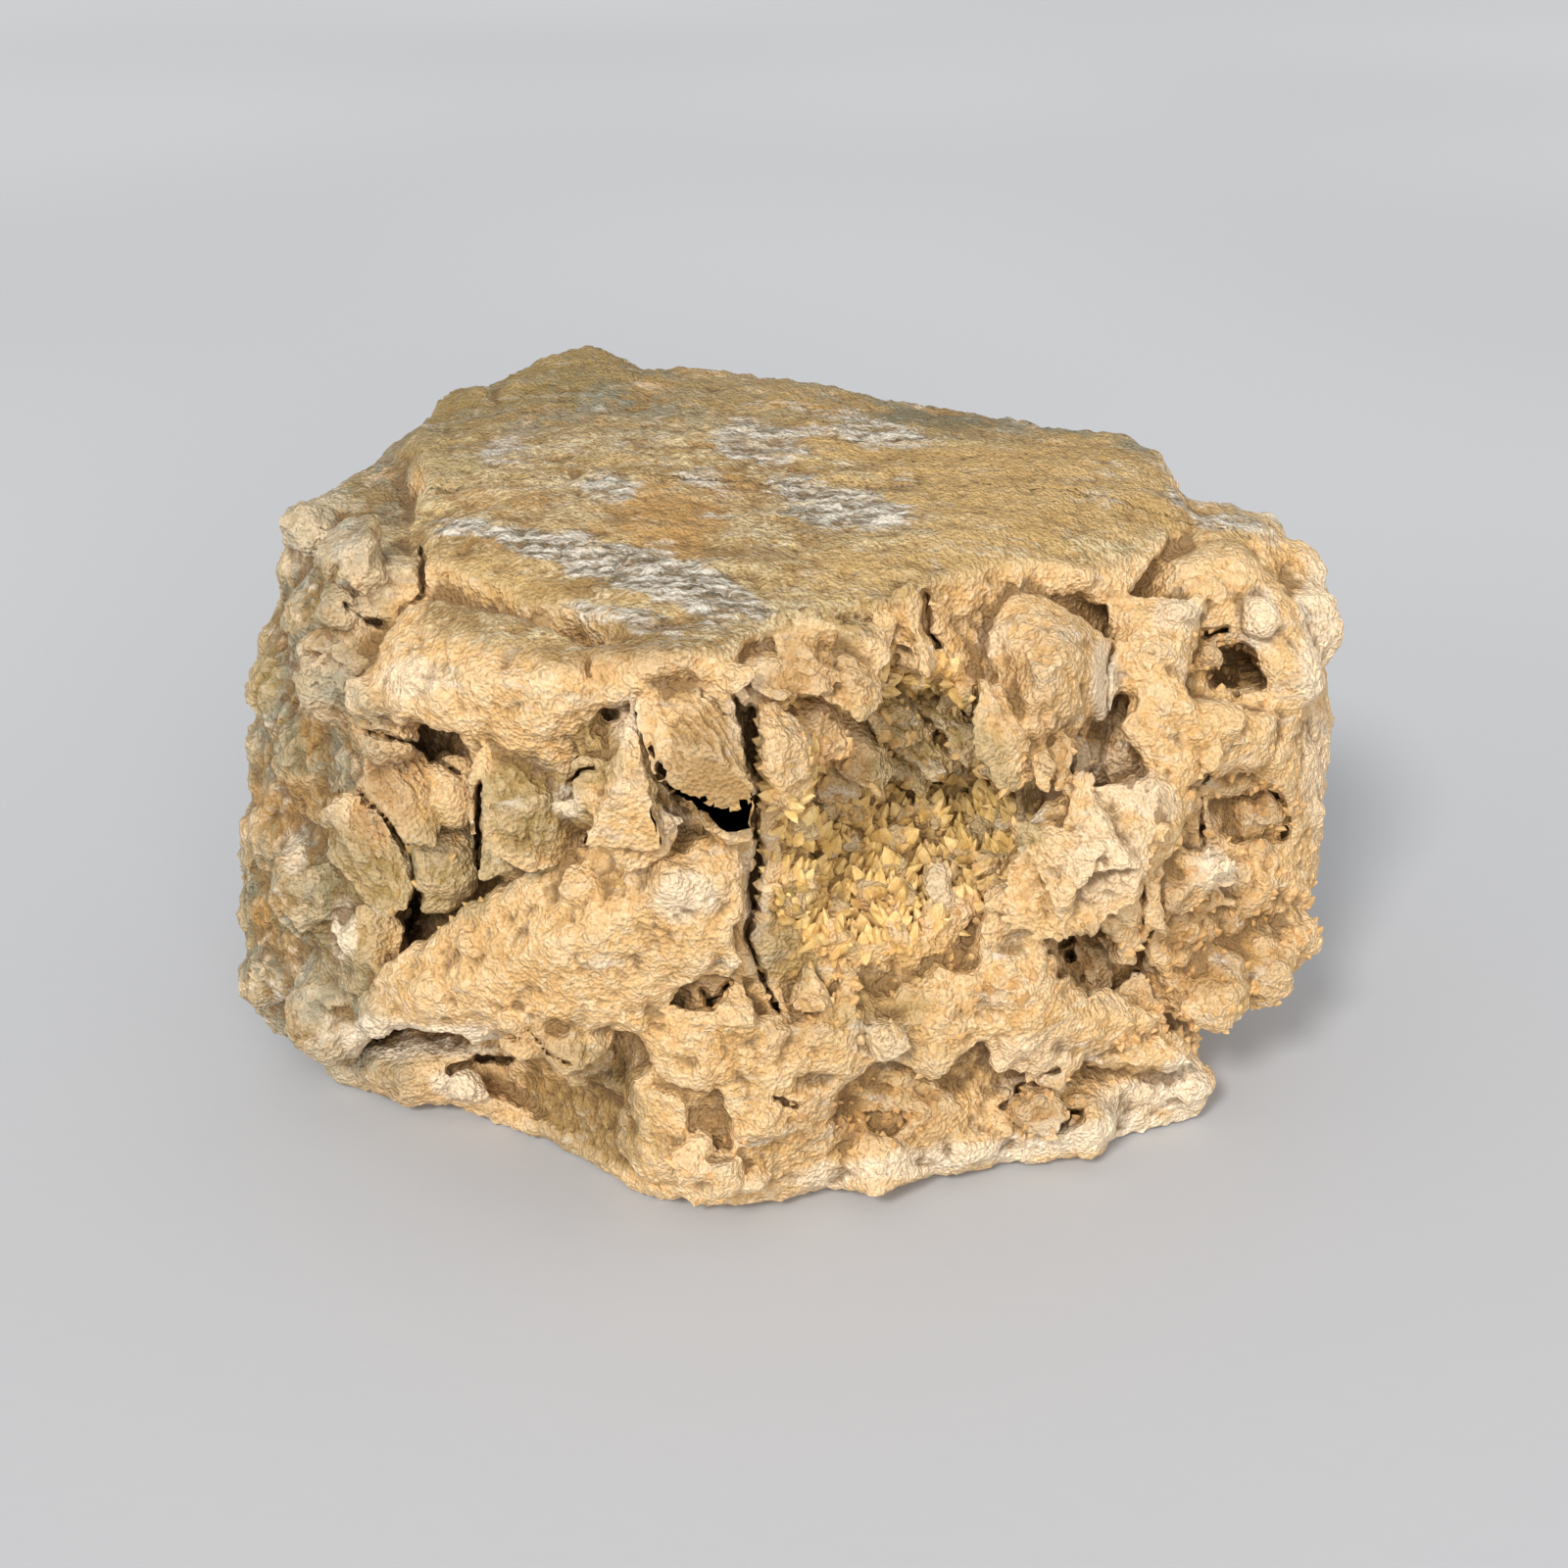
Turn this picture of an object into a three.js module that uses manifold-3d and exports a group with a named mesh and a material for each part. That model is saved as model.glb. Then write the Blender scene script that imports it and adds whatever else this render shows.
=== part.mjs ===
// A quartz specimen: a fist-sized block broken from a vein. Its top is a slab of stained wall rock. Its
// front is broken quartz, opened by hollows that are lined with small pointed crystals and bladed casts.
// The crystals of each hollow are one crust, and all the rest of the block is one stone.
// Lengths are millimetres. X runs to the right along the front, Y to the back and Z up.
import * as THREE from "three";
import Module from "manifold-3d";
import { ConvexGeometry } from "three/addons/geometries/ConvexGeometry.js";
import { ImprovedNoise } from "three/addons/math/ImprovedNoise.js";
import { mergeVertices } from "three/addons/utils/BufferGeometryUtils.js";

const wasm = await Module();
wasm.setup();

// The view in the photograph, which is 1600 pixels square. A landmark on the stone is a pixel of it and
// the depth at which the stone lies there, as [column, row, millimetres along Y].
const VIEW_SIDE = 1600;
const VIEW_ANGLE = 35; // degrees across the picture
const VIEW_ELEVATION = 25; // degrees above the horizon
const VIEW_DISTANCE = 290;
const VIEW_AIM_HEIGHT = 38;

const FRONT_EDGE = 3.3; // usual length of a triangle's edge on the broken front
const REAR_EDGE = 7.5; // and on the back and the underside
const SHORTEST_EDGE = 0.7;
const LINING_EDGE = 5;
const LINING_THICKNESS = 2.4;
const CRUST_GAP = 0.9; // free space between a crust and the stone behind it
const FORM_GAP = 1.9; // and between a crust and the rougher forms that hang over it

const focal = VIEW_SIDE / 2 / Math.tan(THREE.MathUtils.degToRad(VIEW_ANGLE / 2));
const tilt = THREE.MathUtils.degToRad(VIEW_ELEVATION);
const eye = new THREE.Vector3(
  0,
  -VIEW_DISTANCE * Math.cos(tilt),
  VIEW_AIM_HEIGHT + VIEW_DISTANCE * Math.sin(tilt),
);

// The point seen at a landmark.
function seen([column, row, depth]) {
  const right = (column - VIEW_SIDE / 2) / focal;
  const up = (VIEW_SIDE / 2 - row) / focal;
  const ray = new THREE.Vector3(
    right,
    Math.cos(tilt) + up * Math.sin(tilt),
    up * Math.cos(tilt) - Math.sin(tilt),
  );
  return eye.clone().addScaledVector(ray, (depth - eye.y) / ray.y);
}

// Points that the photograph doesn't show, as [x, y, z].
function placed(points) {
  return points.map((point) => new THREE.Vector3(...point));
}

// A closed geometry as a solid for joining and cutting.
function solid(geometry) {
  const bare = new THREE.BufferGeometry().setAttribute("position", geometry.getAttribute("position"));
  if (geometry.index) bare.setIndex(geometry.index);
  const merged = mergeVertices(bare, 1e-4);
  return new wasm.Manifold(
    new wasm.Mesh({
      numProp: 3,
      vertProperties: new Float32Array(merged.attributes.position.array),
      triVerts: new Uint32Array(merged.index.array),
    }),
  );
}

// The convex solid around some points.
function hull(points) {
  return solid(new ConvexGeometry(points));
}

function join(solids) {
  return solids.reduce((whole, next) => whole.add(next));
}

function meanOf(points) {
  return points.reduce((sum, p) => sum.add(p), new THREE.Vector3()).divideScalar(points.length);
}

// The points moved away from their middle, or towards it where the distance is negative.
function spread(points, distance) {
  const middle = meanOf(points);
  return points.map((p) => p.clone().add(p.clone().sub(middle).setLength(distance)));
}

const perlin = new ImprovedNoise();

// Smooth noise from -1 to 1, with bumps of about the given size.
function noise(p, size, shift) {
  return perlin.noise(p.x / size + shift, p.y / size - shift, p.z / size + 2 * shift);
}

// Outer shape of the stone

// The block's core under the slab of wall rock.
const coreSeen = [
  [600, 349, 52], [550, 354, 49], [522, 374, 46], [700, 375, 50], [850, 398, 45], [1000, 421, 38],
  [1160, 444, 31], [1198, 466, 27], [1200, 508, 8], [1130, 537, 0], [1060, 554, -6], [960, 574, -12],
  [880, 600, -19], [790, 625, -25], [700, 650, -32], [640, 648, -26], [560, 632, -20], [480, 612, -14],
  [428, 600, -9.7], [425, 548, -6.8], [560, 556, -8.4], [428, 447, 33], [443, 404, 39],
];
const coreHidden = [
  [-22, -22, -2], [-11, -31, -2], [0, -31, -2], [17, -25, -2], [41, -17, -2], [50, -9, -2], [52, 8, -2],
  [44, 34, -2], [18, 47, -2], [-16, 48, -2], [-40, 36, -2], [-50, 18, -2], [-44, -6, -1],
  [30, 52, 34], [-20, 56, 40], [48, 38, 40], [-44, 44, 38],
];

const leftFlankSeen = [
  [340, 504, 22], [306, 557, 14], [295, 599, 14], [270, 640, 14], [258, 690, 14], [257, 770, 12],
  [243, 830, 10], [239, 870, 10], [247, 915, 8], [257, 960, 8], [259, 1000, 6], [266, 1047, 5],
  [288, 1082, 1], [375, 472, 28], [428, 600, -12], [368, 720, -18], [372, 1000, -20], [372, 860, -20],
  [400, 1060, -18],
];
const leftFlankHidden = [[-54, 32, 22], [-52, 36, 50], [-48, 22, 3], [-46, 34, 66]];

// The lower block on the right, a step below the slab.
const rightFlankSeen = [
  [1212, 494, 28], [1262, 507, 33], [1314, 534, 29], [1345, 563, 22], [1358, 590, 15], [1347, 640, 12],
  [1357, 712, 9], [1359, 745, 8], [1345, 800, 6], [1341, 870, 3], [1341, 912, 1], [1329, 948, -1],
  [1317, 982, -4], [1292, 1015, -6], [1243, 1050, -9], [1215, 560, 2], [1320, 620, 0], [1322, 720, -5],
  [1160, 640, -4], [1130, 760, -10], [1300, 900, -9], [1170, 1040, -15],
];
const rightFlankHidden = [[48, 30, 4], [60, 32, 34], [54, 44, 48], [40, 40, 20], [56, 8, 6]];

// The lump that the front stands on, and the pale ledge that runs from it to the right.
const footSeen = [
  [622, 1150, -29], [640, 1210, -30.5], [688, 1249, -34], [752, 1253, -34.5], [798, 1230, -32.5],
  [850, 1196, -31], [858, 1110, -32], [800, 1070, -33], [705, 1070, -34], [650, 1105, -32],
];
const footHidden = [[-16, -16, -1], [8, -16, -1], [-6, -14, 26]];
const footLedgeSeen = [
  [820, 1230, -31], [870, 1226, -30], [950, 1214, -28], [1050, 1187, -22], [1160, 1176, -19.5],
  [1203, 1145, -15.5], [1231, 1134, -11], [1231, 1092, -11.5], [1150, 1105, -18], [1000, 1140, -27],
  [900, 1130, -30],
];
const footLedgeHidden = [[10, -10, -1], [45, 0, -1], [20, -14, 12]];

// The ledge under the left flank, which nearly reaches the table.
const leftLedgeSeen = [
  [286, 1087, 0], [330, 1119, -4], [373, 1127, -8], [403, 1142, -12], [450, 1147, -13.5],
  [492, 1147, -14], [516, 1127, -13], [538, 1100, -14], [480, 1090, -16], [400, 1090, -15],
  [330, 1083, -8],
];
const leftLedgeHidden = [[-30, 6, 1.4], [-46, 14, 1.4], [-30, 0, 12]];

// Broken ledges of the back.
const backLedges = [
  [[-40, 40, 44], [-8, 58, 52], [-10, 61, 32], [-38, 50, 24], [-20, 40, 62], [-30, 30, 20], [0, 48, 34]],
  [[6, 55, 46], [40, 47, 52], [46, 48, 36], [14, 60, 28], [26, 40, 60], [30, 34, 24]],
  [[-32, 49, 18], [6, 58, 22], [14, 52, 5], [-26, 47, 3], [-10, 36, 24], [0, 30, 4]],
  [[20, 52, 18], [48, 40, 22], [50, 29, 6], [26, 43, 3], [30, 24, 14]],
  [[-54, 34, 40], [-40, 46, 36], [-38, 44, 18], [-54, 30, 20], [-44, 24, 30]],
];

// Rounded knobs, as a landmark at the knob's middle and its radius.
const knobs = [
  [334, 530, 16, 5], [320, 582, 12, 5], [374, 572, 3, 7], [390, 614, -6, 6], [336, 640, 3, 6.5],
  [294, 664, 13, 5], [307, 705, 5, 6.5], [352, 690, -9, 6.5], [287, 768, 10, 5.5], [327, 775, -3, 6.5],
  [274, 835, 10, 4.5], [307, 850, 1, 6.5], [266, 884, 9, 4], [331, 905, -9, 6.5], [286, 932, 7, 5.5],
  [289, 1000, 4, 5.5], [337, 1030, -9, 6.5], [306, 1065, 1, 4.5],
  [462, 428, 35, 4.5], [418, 470, 26, 5], [375, 496, 20, 5], [485, 402, 41, 4],
  [1222, 562, 9, 5], [1262, 566, 11, 5.5], [1215, 602, 2, 5], [1245, 592, 4, 5.5], [1283, 632, 3, 5.5],
  [1318, 590, 12, 5], [1318, 640, 6, 5.5], [1305, 690, -1, 5], [1320, 955, -6, 4], [1284, 985, -9, 5],
  [1236, 1010, -13, 5],
  [900, 1194, -29.5, 4], [1000, 1180, -25.5, 4], [1100, 1156, -22, 4.5], [1207, 1115, -13, 4.5],
];
// The knobs of the back, as [x, y, z, radius].
const backKnobs = [
  [-34, 43, 52, 6], [-22, 50, 46, 6.5], [-42, 38, 34, 7], [-28, 46, 26, 6], [10, 52, 52, 6],
  [28, 46, 48, 6.5], [44, 38, 36, 7], [52, 36, 46, 5], [34, 44, 26, 6], [2, 52, 14, 6],
  [-16, 50, 10, 6], [40, 34, 12, 6], [56, 30, 24, 6], [-50, 28, 16, 6], [-52, 32, 60, 5],
  [18, 52, 30, 5], [-6, 56, 38, 5],
];

// Slabs, lumps and ledges that stand out of the broken front. Each has the landmarks of its outline, of
// the places that bulge inside it, and its thickness.
const forms = {
  shoulder: {
    outline: [
      [405, 625, -14], [440, 608, -17], [560, 636, -26], [600, 656, -30], [598, 700, -33],
      [560, 712, -32], [500, 735, -30], [440, 748, -27], [400, 740, -24], [366, 735, -21],
      [360, 712, -20], [392, 660, -18],
    ],
    bulge: [[480, 690, -31], [420, 690, -26], [550, 680, -33]],
    thickness: 16,
  },
  shoulderLobe: {
    outline: [
      [500, 700, -31], [592, 690, -34], [612, 715, -33], [606, 745, -32], [590, 770, -31],
      [575, 800, -30], [552, 845, -27], [520, 840, -26], [505, 800, -27], [480, 775, -27],
      [470, 740, -28],
    ],
    bulge: [[550, 745, -34]],
    thickness: 14,
  },
  rimLeft: {
    outline: [
      [600, 654, -31], [690, 654, -34], [740, 648, -32], [790, 628, -27], [775, 655, -31],
      [745, 690, -34], [735, 715, -35], [700, 712, -35], [645, 702, -34], [610, 725, -33],
    ],
    bulge: [[680, 680, -36]],
    thickness: 14,
  },
  rimChip: {
    outline: [[735, 690, -34], [760, 688, -33], [748, 715, -34], [757, 740, -34], [745, 762, -34], [725, 740, -35]],
    thickness: 6,
  },
  rimOverHollow: {
    outline: [
      [775, 628, -26], [880, 602, -20], [960, 576, -13], [1010, 568, -9], [1012, 590, -10],
      [990, 630, -12], [950, 628, -14], [880, 638, -20], [800, 648, -26],
    ],
    bulge: [[900, 615, -21]],
    thickness: 12,
  },
  roofToothLeft: {
    outline: [[880, 630, -18], [915, 620, -17], [914, 660, -18], [903, 690, -20], [890, 665, -19]],
    thickness: 4,
  },
  roofToothRight: {
    outline: [[905, 600, -19], [946, 600, -15], [940, 640, -18], [946, 698, -20], [925, 668, -20], [912, 640, -20]],
    thickness: 5,
  },
  rimRight: {
    outline: [
      [1000, 572, -10], [1060, 558, -6], [1130, 542, 0], [1196, 516, 6], [1200, 560, 3],
      [1160, 600, -3], [1130, 620, -6], [1060, 602, -10], [1030, 600, -10],
    ],
    bulge: [[1100, 580, -8]],
    thickness: 14,
  },
  hangingLump: {
    outline: [
      [1003, 645, -16], [1020, 615, -14], [1045, 600, -12], [1100, 618, -11], [1128, 652, -11],
      [1143, 690, -12], [1135, 718, -14], [1100, 758, -18], [1062, 782, -21], [1045, 806, -23],
      [1030, 804, -23], [1008, 790, -20], [996, 740, -17],
    ],
    bulge: [[1065, 690, -26], [1095, 680, -24], [1040, 740, -24], [1080, 640, -19]],
    thickness: 16,
  },
  cheek: {
    outline: [
      [1130, 615, -6], [1165, 605, -6], [1232, 606, -4], [1226, 650, -6], [1205, 700, -11],
      [1196, 724, -14], [1150, 715, -14], [1130, 680, -11],
    ],
    bulge: [[1180, 660, -12]],
    thickness: 14,
  },
  smoothSlab: {
    outline: [
      [1148, 712, -15], [1190, 722, -15], [1312, 724, -8], [1308, 778, -9], [1270, 780, -12],
      [1215, 798, -15], [1160, 790, -17], [1140, 760, -16],
    ],
    bulge: [[1225, 750, -15]],
    thickness: 14,
  },
  starPlate: {
    outline: [
      [1062, 812, -24], [1120, 795, -22], [1165, 780, -20], [1180, 790, -20], [1212, 818, -19],
      [1208, 850, -20], [1180, 890, -22], [1120, 930, -25], [1060, 905, -26], [1042, 860, -26],
    ],
    bulge: [[1120, 850, -26.5]],
    thickness: 12,
  },
  starArmLow: {
    outline: [
      [1060, 895, -26], [1120, 915, -25], [1090, 948, -26], [1040, 965, -27], [1000, 935, -27],
      [1000, 892, -26],
    ],
    thickness: 10,
  },
  starTail: {
    outline: [
      [1110, 890, -25], [1190, 880, -21], [1168, 935, -21], [1162, 983, -21], [1145, 990, -22],
      [1120, 950, -23],
    ],
    thickness: 8,
  },
  starKnob: {
    outline: [[1165, 782, -20], [1205, 790, -17], [1230, 815, -15], [1223, 848, -16], [1208, 850, -18]],
    thickness: 8,
  },
  paleSpike: {
    outline: [
      [1185, 872, -18], [1215, 860, -17], [1235, 872, -16], [1254, 889, -15.5], [1240, 908, -16],
      [1222, 900, -17], [1195, 935, -18], [1170, 950, -19],
    ],
    thickness: 8,
  },
  brownPanel: {
    outline: [
      [1172, 935, -16], [1240, 912, -12], [1250, 935, -12], [1240, 970, -12], [1190, 1000, -15],
      [1168, 990, -17],
    ],
    thickness: 10,
  },
  paleBand: {
    outline: [
      [1245, 877, -13], [1280, 870, -11], [1336, 874, -3], [1340, 905, -2], [1331, 948, -4],
      [1310, 955, -7], [1285, 915, -10], [1255, 905, -13],
    ],
    thickness: 8,
  },
  rimColumn: {
    outline: [
      [1318, 728, -4], [1345, 718, 3], [1364, 718, 8], [1362, 750, 6], [1346, 800, 4], [1341, 860, 1],
      [1325, 862, -5], [1312, 800, -7],
    ],
    thickness: 10,
  },
  longSlab: {
    outline: [
      [368, 1000, -23], [392, 1048, -24], [440, 1062, -27], [500, 1050, -31], [590, 1070, -34],
      [650, 1050, -36], [715, 1000, -38], [756, 955, -38], [766, 900, -37], [766, 872, -37],
      [745, 842, -35], [690, 848, -34], [600, 858, -32], [535, 885, -30], [440, 945, -27],
    ],
    bulge: [[600, 960, -38], [700, 900, -39], [480, 1010, -32]],
    thickness: 13,
  },
  slabFoot: {
    outline: [
      [640, 1035, -36], [700, 1035, -37], [760, 1020, -36], [800, 1045, -35], [795, 1110, -35],
      [720, 1112, -36], [662, 1096, -35],
    ],
    thickness: 12,
  },
  lumpUnderSlab: {
    outline: [
      [500, 1050, -28], [530, 1045, -29], [550, 1062, -29], [545, 1088, -27], [530, 1085, -26],
    ],
    thickness: 8,
  },
  toothUnderSlab: {
    outline: [
      [558, 1060, -31], [600, 1035, -33], [640, 1035, -35], [625, 1070, -33], [600, 1096, -31],
      [572, 1101, -30], [555, 1080, -29],
    ],
    thickness: 8,
  },
  clearBlock: {
    outline: [[716, 968, -38], [742, 958, -38], [758, 985, -38], [745, 1002, -37], [722, 998, -36]],
    thickness: 6,
  },
  lowBlade: {
    outline: [
      [335, 822, -16], [352, 802, -17], [376, 806, -19], [400, 848, -21], [420, 888, -23],
      [424, 916, -23], [400, 902, -22], [368, 897, -21], [350, 872, -19],
    ],
    thickness: 6,
  },
  spearBlade: {
    outline: [
      [368, 792, -19], [384, 760, -19], [402, 744, -20], [425, 760, -21], [440, 792, -22],
      [444, 825, -22], [434, 857, -22], [412, 850, -21], [388, 832, -20], [372, 808, -19],
    ],
    thickness: 12,
  },
  smoothBlade: {
    outline: [
      [430, 768, -17], [460, 762, -18], [480, 785, -19], [487, 820, -19], [484, 860, -18],
      [465, 848, -17], [445, 835, -17],
    ],
    thickness: 9,
  },
  yellowFloor: {
    outline: [[415, 860, -17], [455, 852, -16], [492, 872, -17], [485, 900, -19], [450, 915, -20], [425, 890, -19]],
    thickness: 9,
  },
  roundLump: {
    outline: [[506, 805, -22], [530, 790, -22], [555, 800, -24], [558, 835, -25], [535, 852, -25], [508, 845, -23]],
    thickness: 11,
  },
  pyramidFoot: {
    outline: [
      [565, 828, -31], [590, 800, -32], [640, 785, -34], [680, 790, -34], [696, 812, -34],
      [700, 850, -34], [600, 860, -32],
    ],
    bulge: [[640, 820, -36]],
    thickness: 12,
  },
  pyramid: {
    outline: [[645, 706, -30], [658, 730, -31], [664, 792, -34], [606, 796, -33], [618, 745, -31]],
    bulge: [[640, 780, -36]],
    thickness: 10,
  },
  ribbedBlade: {
    outline: [
      [664, 716, -35], [678, 704, -36], [700, 712, -37], [735, 745, -38], [768, 788, -39],
      [776, 808, -39], [764, 829, -38], [735, 820, -37], [702, 812, -36], [682, 780, -35],
      [668, 755, -35],
    ],
    thickness: 5,
  },
  hollowSill: {
    outline: [
      [775, 1060, -33], [795, 1010, -31], [850, 1000, -29], [900, 1015, -28.5], [915, 1060, -30],
      [870, 1100, -33], [800, 1095, -35],
    ],
    bulge: [[840, 1050, -34]],
    thickness: 14,
  },
  sillMiddle: {
    outline: [
      [900, 1010, -28], [960, 985, -28], [1010, 1000, -28], [1005, 1060, -29], [960, 1100, -31],
      [900, 1080, -31],
    ],
    bulge: [[955, 1040, -31]],
    thickness: 14,
  },
  sillRight: {
    outline: [
      [990, 935, -27], [1060, 950, -27], [1060, 990, -27], [1110, 1012, -25], [1140, 1060, -23],
      [1090, 1100, -25], [1020, 1095, -28], [1000, 1050, -29], [985, 980, -28],
    ],
    bulge: [[1060, 1040, -29]],
    thickness: 14,
  },
  wedgeRight: {
    outline: [
      [1105, 1010, -24], [1150, 1008, -21], [1175, 1040, -19], [1228, 1075, -12], [1222, 1098, -13],
      [1140, 1100, -19], [1100, 1070, -24],
    ],
    bulge: [[1150, 1060, -21]],
    thickness: 12,
  },
  footKnobLeft: {
    outline: [
      [618, 1140, -30], [660, 1108, -34], [705, 1120, -36], [715, 1170, -36], [690, 1215, -35],
      [650, 1200, -32], [625, 1180, -30],
    ],
    thickness: 10,
  },
  footKnobRight: {
    outline: [
      [735, 1110, -36], [800, 1090, -36], [850, 1120, -33], [845, 1180, -32], [800, 1210, -33],
      [745, 1200, -36],
    ],
    thickness: 10,
  },
};

// Hollows, each the convex space between its mouth, in the air before the front, and its walls.
const mainHollow = {
  mouth: [
    [756, 645, -48], [762, 1020, -50], [830, 1040, -50], [1000, 1020, -46], [1078, 930, -44],
    [1078, 800, -42], [1000, 636, -40], [900, 628, -42], [800, 636, -46],
  ],
  walls: [
    [788, 690, -12], [788, 900, -17], [850, 985, -24], [860, 700, -7], [900, 780, 1], [985, 795, 4],
    [1055, 830, -6], [1028, 900, -16], [965, 975, -22], [1030, 730, -2], [950, 660, -6],
    [860, 650, -12],
  ],
};
const leftHollow = {
  mouth: [
    [385, 755, -40], [392, 880, -40], [425, 965, -42], [540, 880, -46], [600, 850, -48],
    [700, 850, -50], [762, 830, -50], [752, 750, -50], [660, 705, -48], [600, 700, -46],
    [440, 745, -42],
  ],
  walls: [
    [402, 780, -12], [425, 905, -13], [480, 860, -12], [560, 830, -17], [640, 760, -21],
    [720, 790, -25], [470, 780, -13],
  ],
};
const rightHollow = {
  mouth: [[1222, 655, -30], [1215, 712, -30], [1312, 712, -24], [1300, 668, -24], [1258, 640, -26]],
  walls: [[1236, 660, 8], [1240, 700, 6], [1290, 700, 9], [1270, 660, 9]],
};
const brownRecess = {
  mouth: [[1218, 800, -40], [1228, 868, -40], [1335, 870, -30], [1318, 796, -30], [1250, 786, -34]],
  walls: [[1235, 815, -6], [1250, 860, -7], [1315, 855, -1], [1305, 805, 0]],
};
const underSlab = {
  mouth: [[400, 1088, -50], [520, 1180, -50], [640, 1140, -52], [600, 1098, -52], [500, 1068, -50]],
  walls: [
    [450, 1090, -12], [520, 1118, -12], [570, 1150, -19], [610, 1180, -24], [640, 1120, -24],
    [560, 1080, -17], [500, 1078, -10],
  ],
};
const starPit = {
  mouth: [[1062, 962, -50], [1095, 945, -48], [1150, 1010, -46], [1100, 1012, -48]],
  walls: [[1080, 965, -12], [1110, 960, -12], [1125, 1000, -12], [1100, 995, -12]],
};
const lowPitLeft = {
  mouth: [[850, 1120, -50], [905, 1105, -50], [970, 1130, -48], [940, 1165, -48], [870, 1180, -50]],
  walls: [[880, 1135, -25], [930, 1135, -23], [900, 1160, -25]],
};
const lowPitRight = {
  mouth: [[1025, 1140, -46], [1070, 1108, -44], [1140, 1120, -40], [1120, 1155, -42], [1050, 1162, -46]],
  walls: [[1060, 1140, -16], [1100, 1135, -14], [1080, 1150, -17]],
};
const hollows = [
  mainHollow, leftHollow, rightHollow, brownRecess, underSlab, starPit, lowPitLeft, lowPitRight,
];

// Steps and blades that stand in the main hollow's crust.
const mainHollowForms = {
  upperStep: {
    outline: [[785, 655, -18], [830, 655, -14], [880, 642, -11], [878, 685, -11], [840, 692, -14], [800, 690, -18]],
    thickness: 8,
  },
  leftStep: {
    outline: [[765, 715, -22], [795, 700, -19], [812, 740, -18], [850, 775, -17], [820, 785, -20], [775, 775, -23]],
    thickness: 8,
  },
  middleStep: {
    outline: [[800, 705, -15], [845, 700, -11], [865, 740, -11], [858, 785, -13], [835, 770, -15], [815, 745, -16]],
    thickness: 8,
  },
  roundCrystal: {
    outline: [[862, 745, -11], [885, 722, -9], [901, 735, -8], [898, 765, -9], [880, 790, -12], [862, 785, -13]],
    thickness: 6,
  },
  innerLedge: {
    outline: [[905, 702, -6], [950, 708, -4], [988, 702, -4], [990, 722, -4], [950, 724, -5], [925, 720, -6]],
    thickness: 7,
  },
  innerBlade: {
    outline: [[902, 722, -6], [935, 735, -5], [975, 770, -4], [990, 795, -5], [945, 780, -7], [905, 760, -8]],
    thickness: 4,
  },
};
// The landmarks of a form's outline and bulges, with the outline repeated behind, drawn in by a quarter.
function formPoints({ outline, bulge = [], thickness }) {
  const column = outline.reduce((sum, landmark) => sum + landmark[0], 0) / outline.length;
  const row = outline.reduce((sum, landmark) => sum + landmark[1], 0) / outline.length;
  const drawnIn = (value, middle) => THREE.MathUtils.lerp(value, middle, 0.25);
  const behind = outline.map(([c, r, depth]) => [drawnIn(c, column), drawnIn(r, row), depth + thickness]);
  return [...outline, ...bulge, ...behind].map(seen);
}

// A rounded knob of stone.
function knob(middle, radius) {
  return solid(new THREE.IcosahedronGeometry(radius, 1).translate(middle.x, middle.y, middle.z));
}

// The corners of a pointed crystal with six sides, widest just under the middle of its height.
function crystalPoints(root, tip, radius, turn) {
  const axis = tip.clone().sub(root);
  const upright = new THREE.Vector3(0, 0, 1);
  const turned = new THREE.Quaternion().setFromUnitVectors(upright, axis.clone().normalize());
  const girdle = Array.from({ length: 6 }, (unused, i) => {
    const angle = turn + (i * Math.PI) / 3;
    const across = new THREE.Vector3(Math.cos(angle), Math.sin(angle), 0).multiplyScalar(radius);
    return across.applyQuaternion(turned).addScaledVector(axis, i % 2 ? 0.5 : 0.4).add(root);
  });
  return [root, tip, ...girdle];
}

// Working on meshes

// A solid as a list of points and a list of triangles.
function listed(body) {
  const mesh = body.getMesh();
  const points = [];
  for (let i = 0; i < mesh.numVert; i += 1) {
    points.push(new THREE.Vector3().fromArray(mesh.vertProperties, i * mesh.numProp));
  }
  const faces = [];
  for (let i = 0; i < mesh.triVerts.length; i += 3) faces.push([...mesh.triVerts.subarray(i, i + 3)]);
  return { points, faces };
}

function closed({ points, faces }) {
  return solid(new THREE.BufferGeometry().setFromPoints(points).setIndex(faces.flat()));
}

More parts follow.
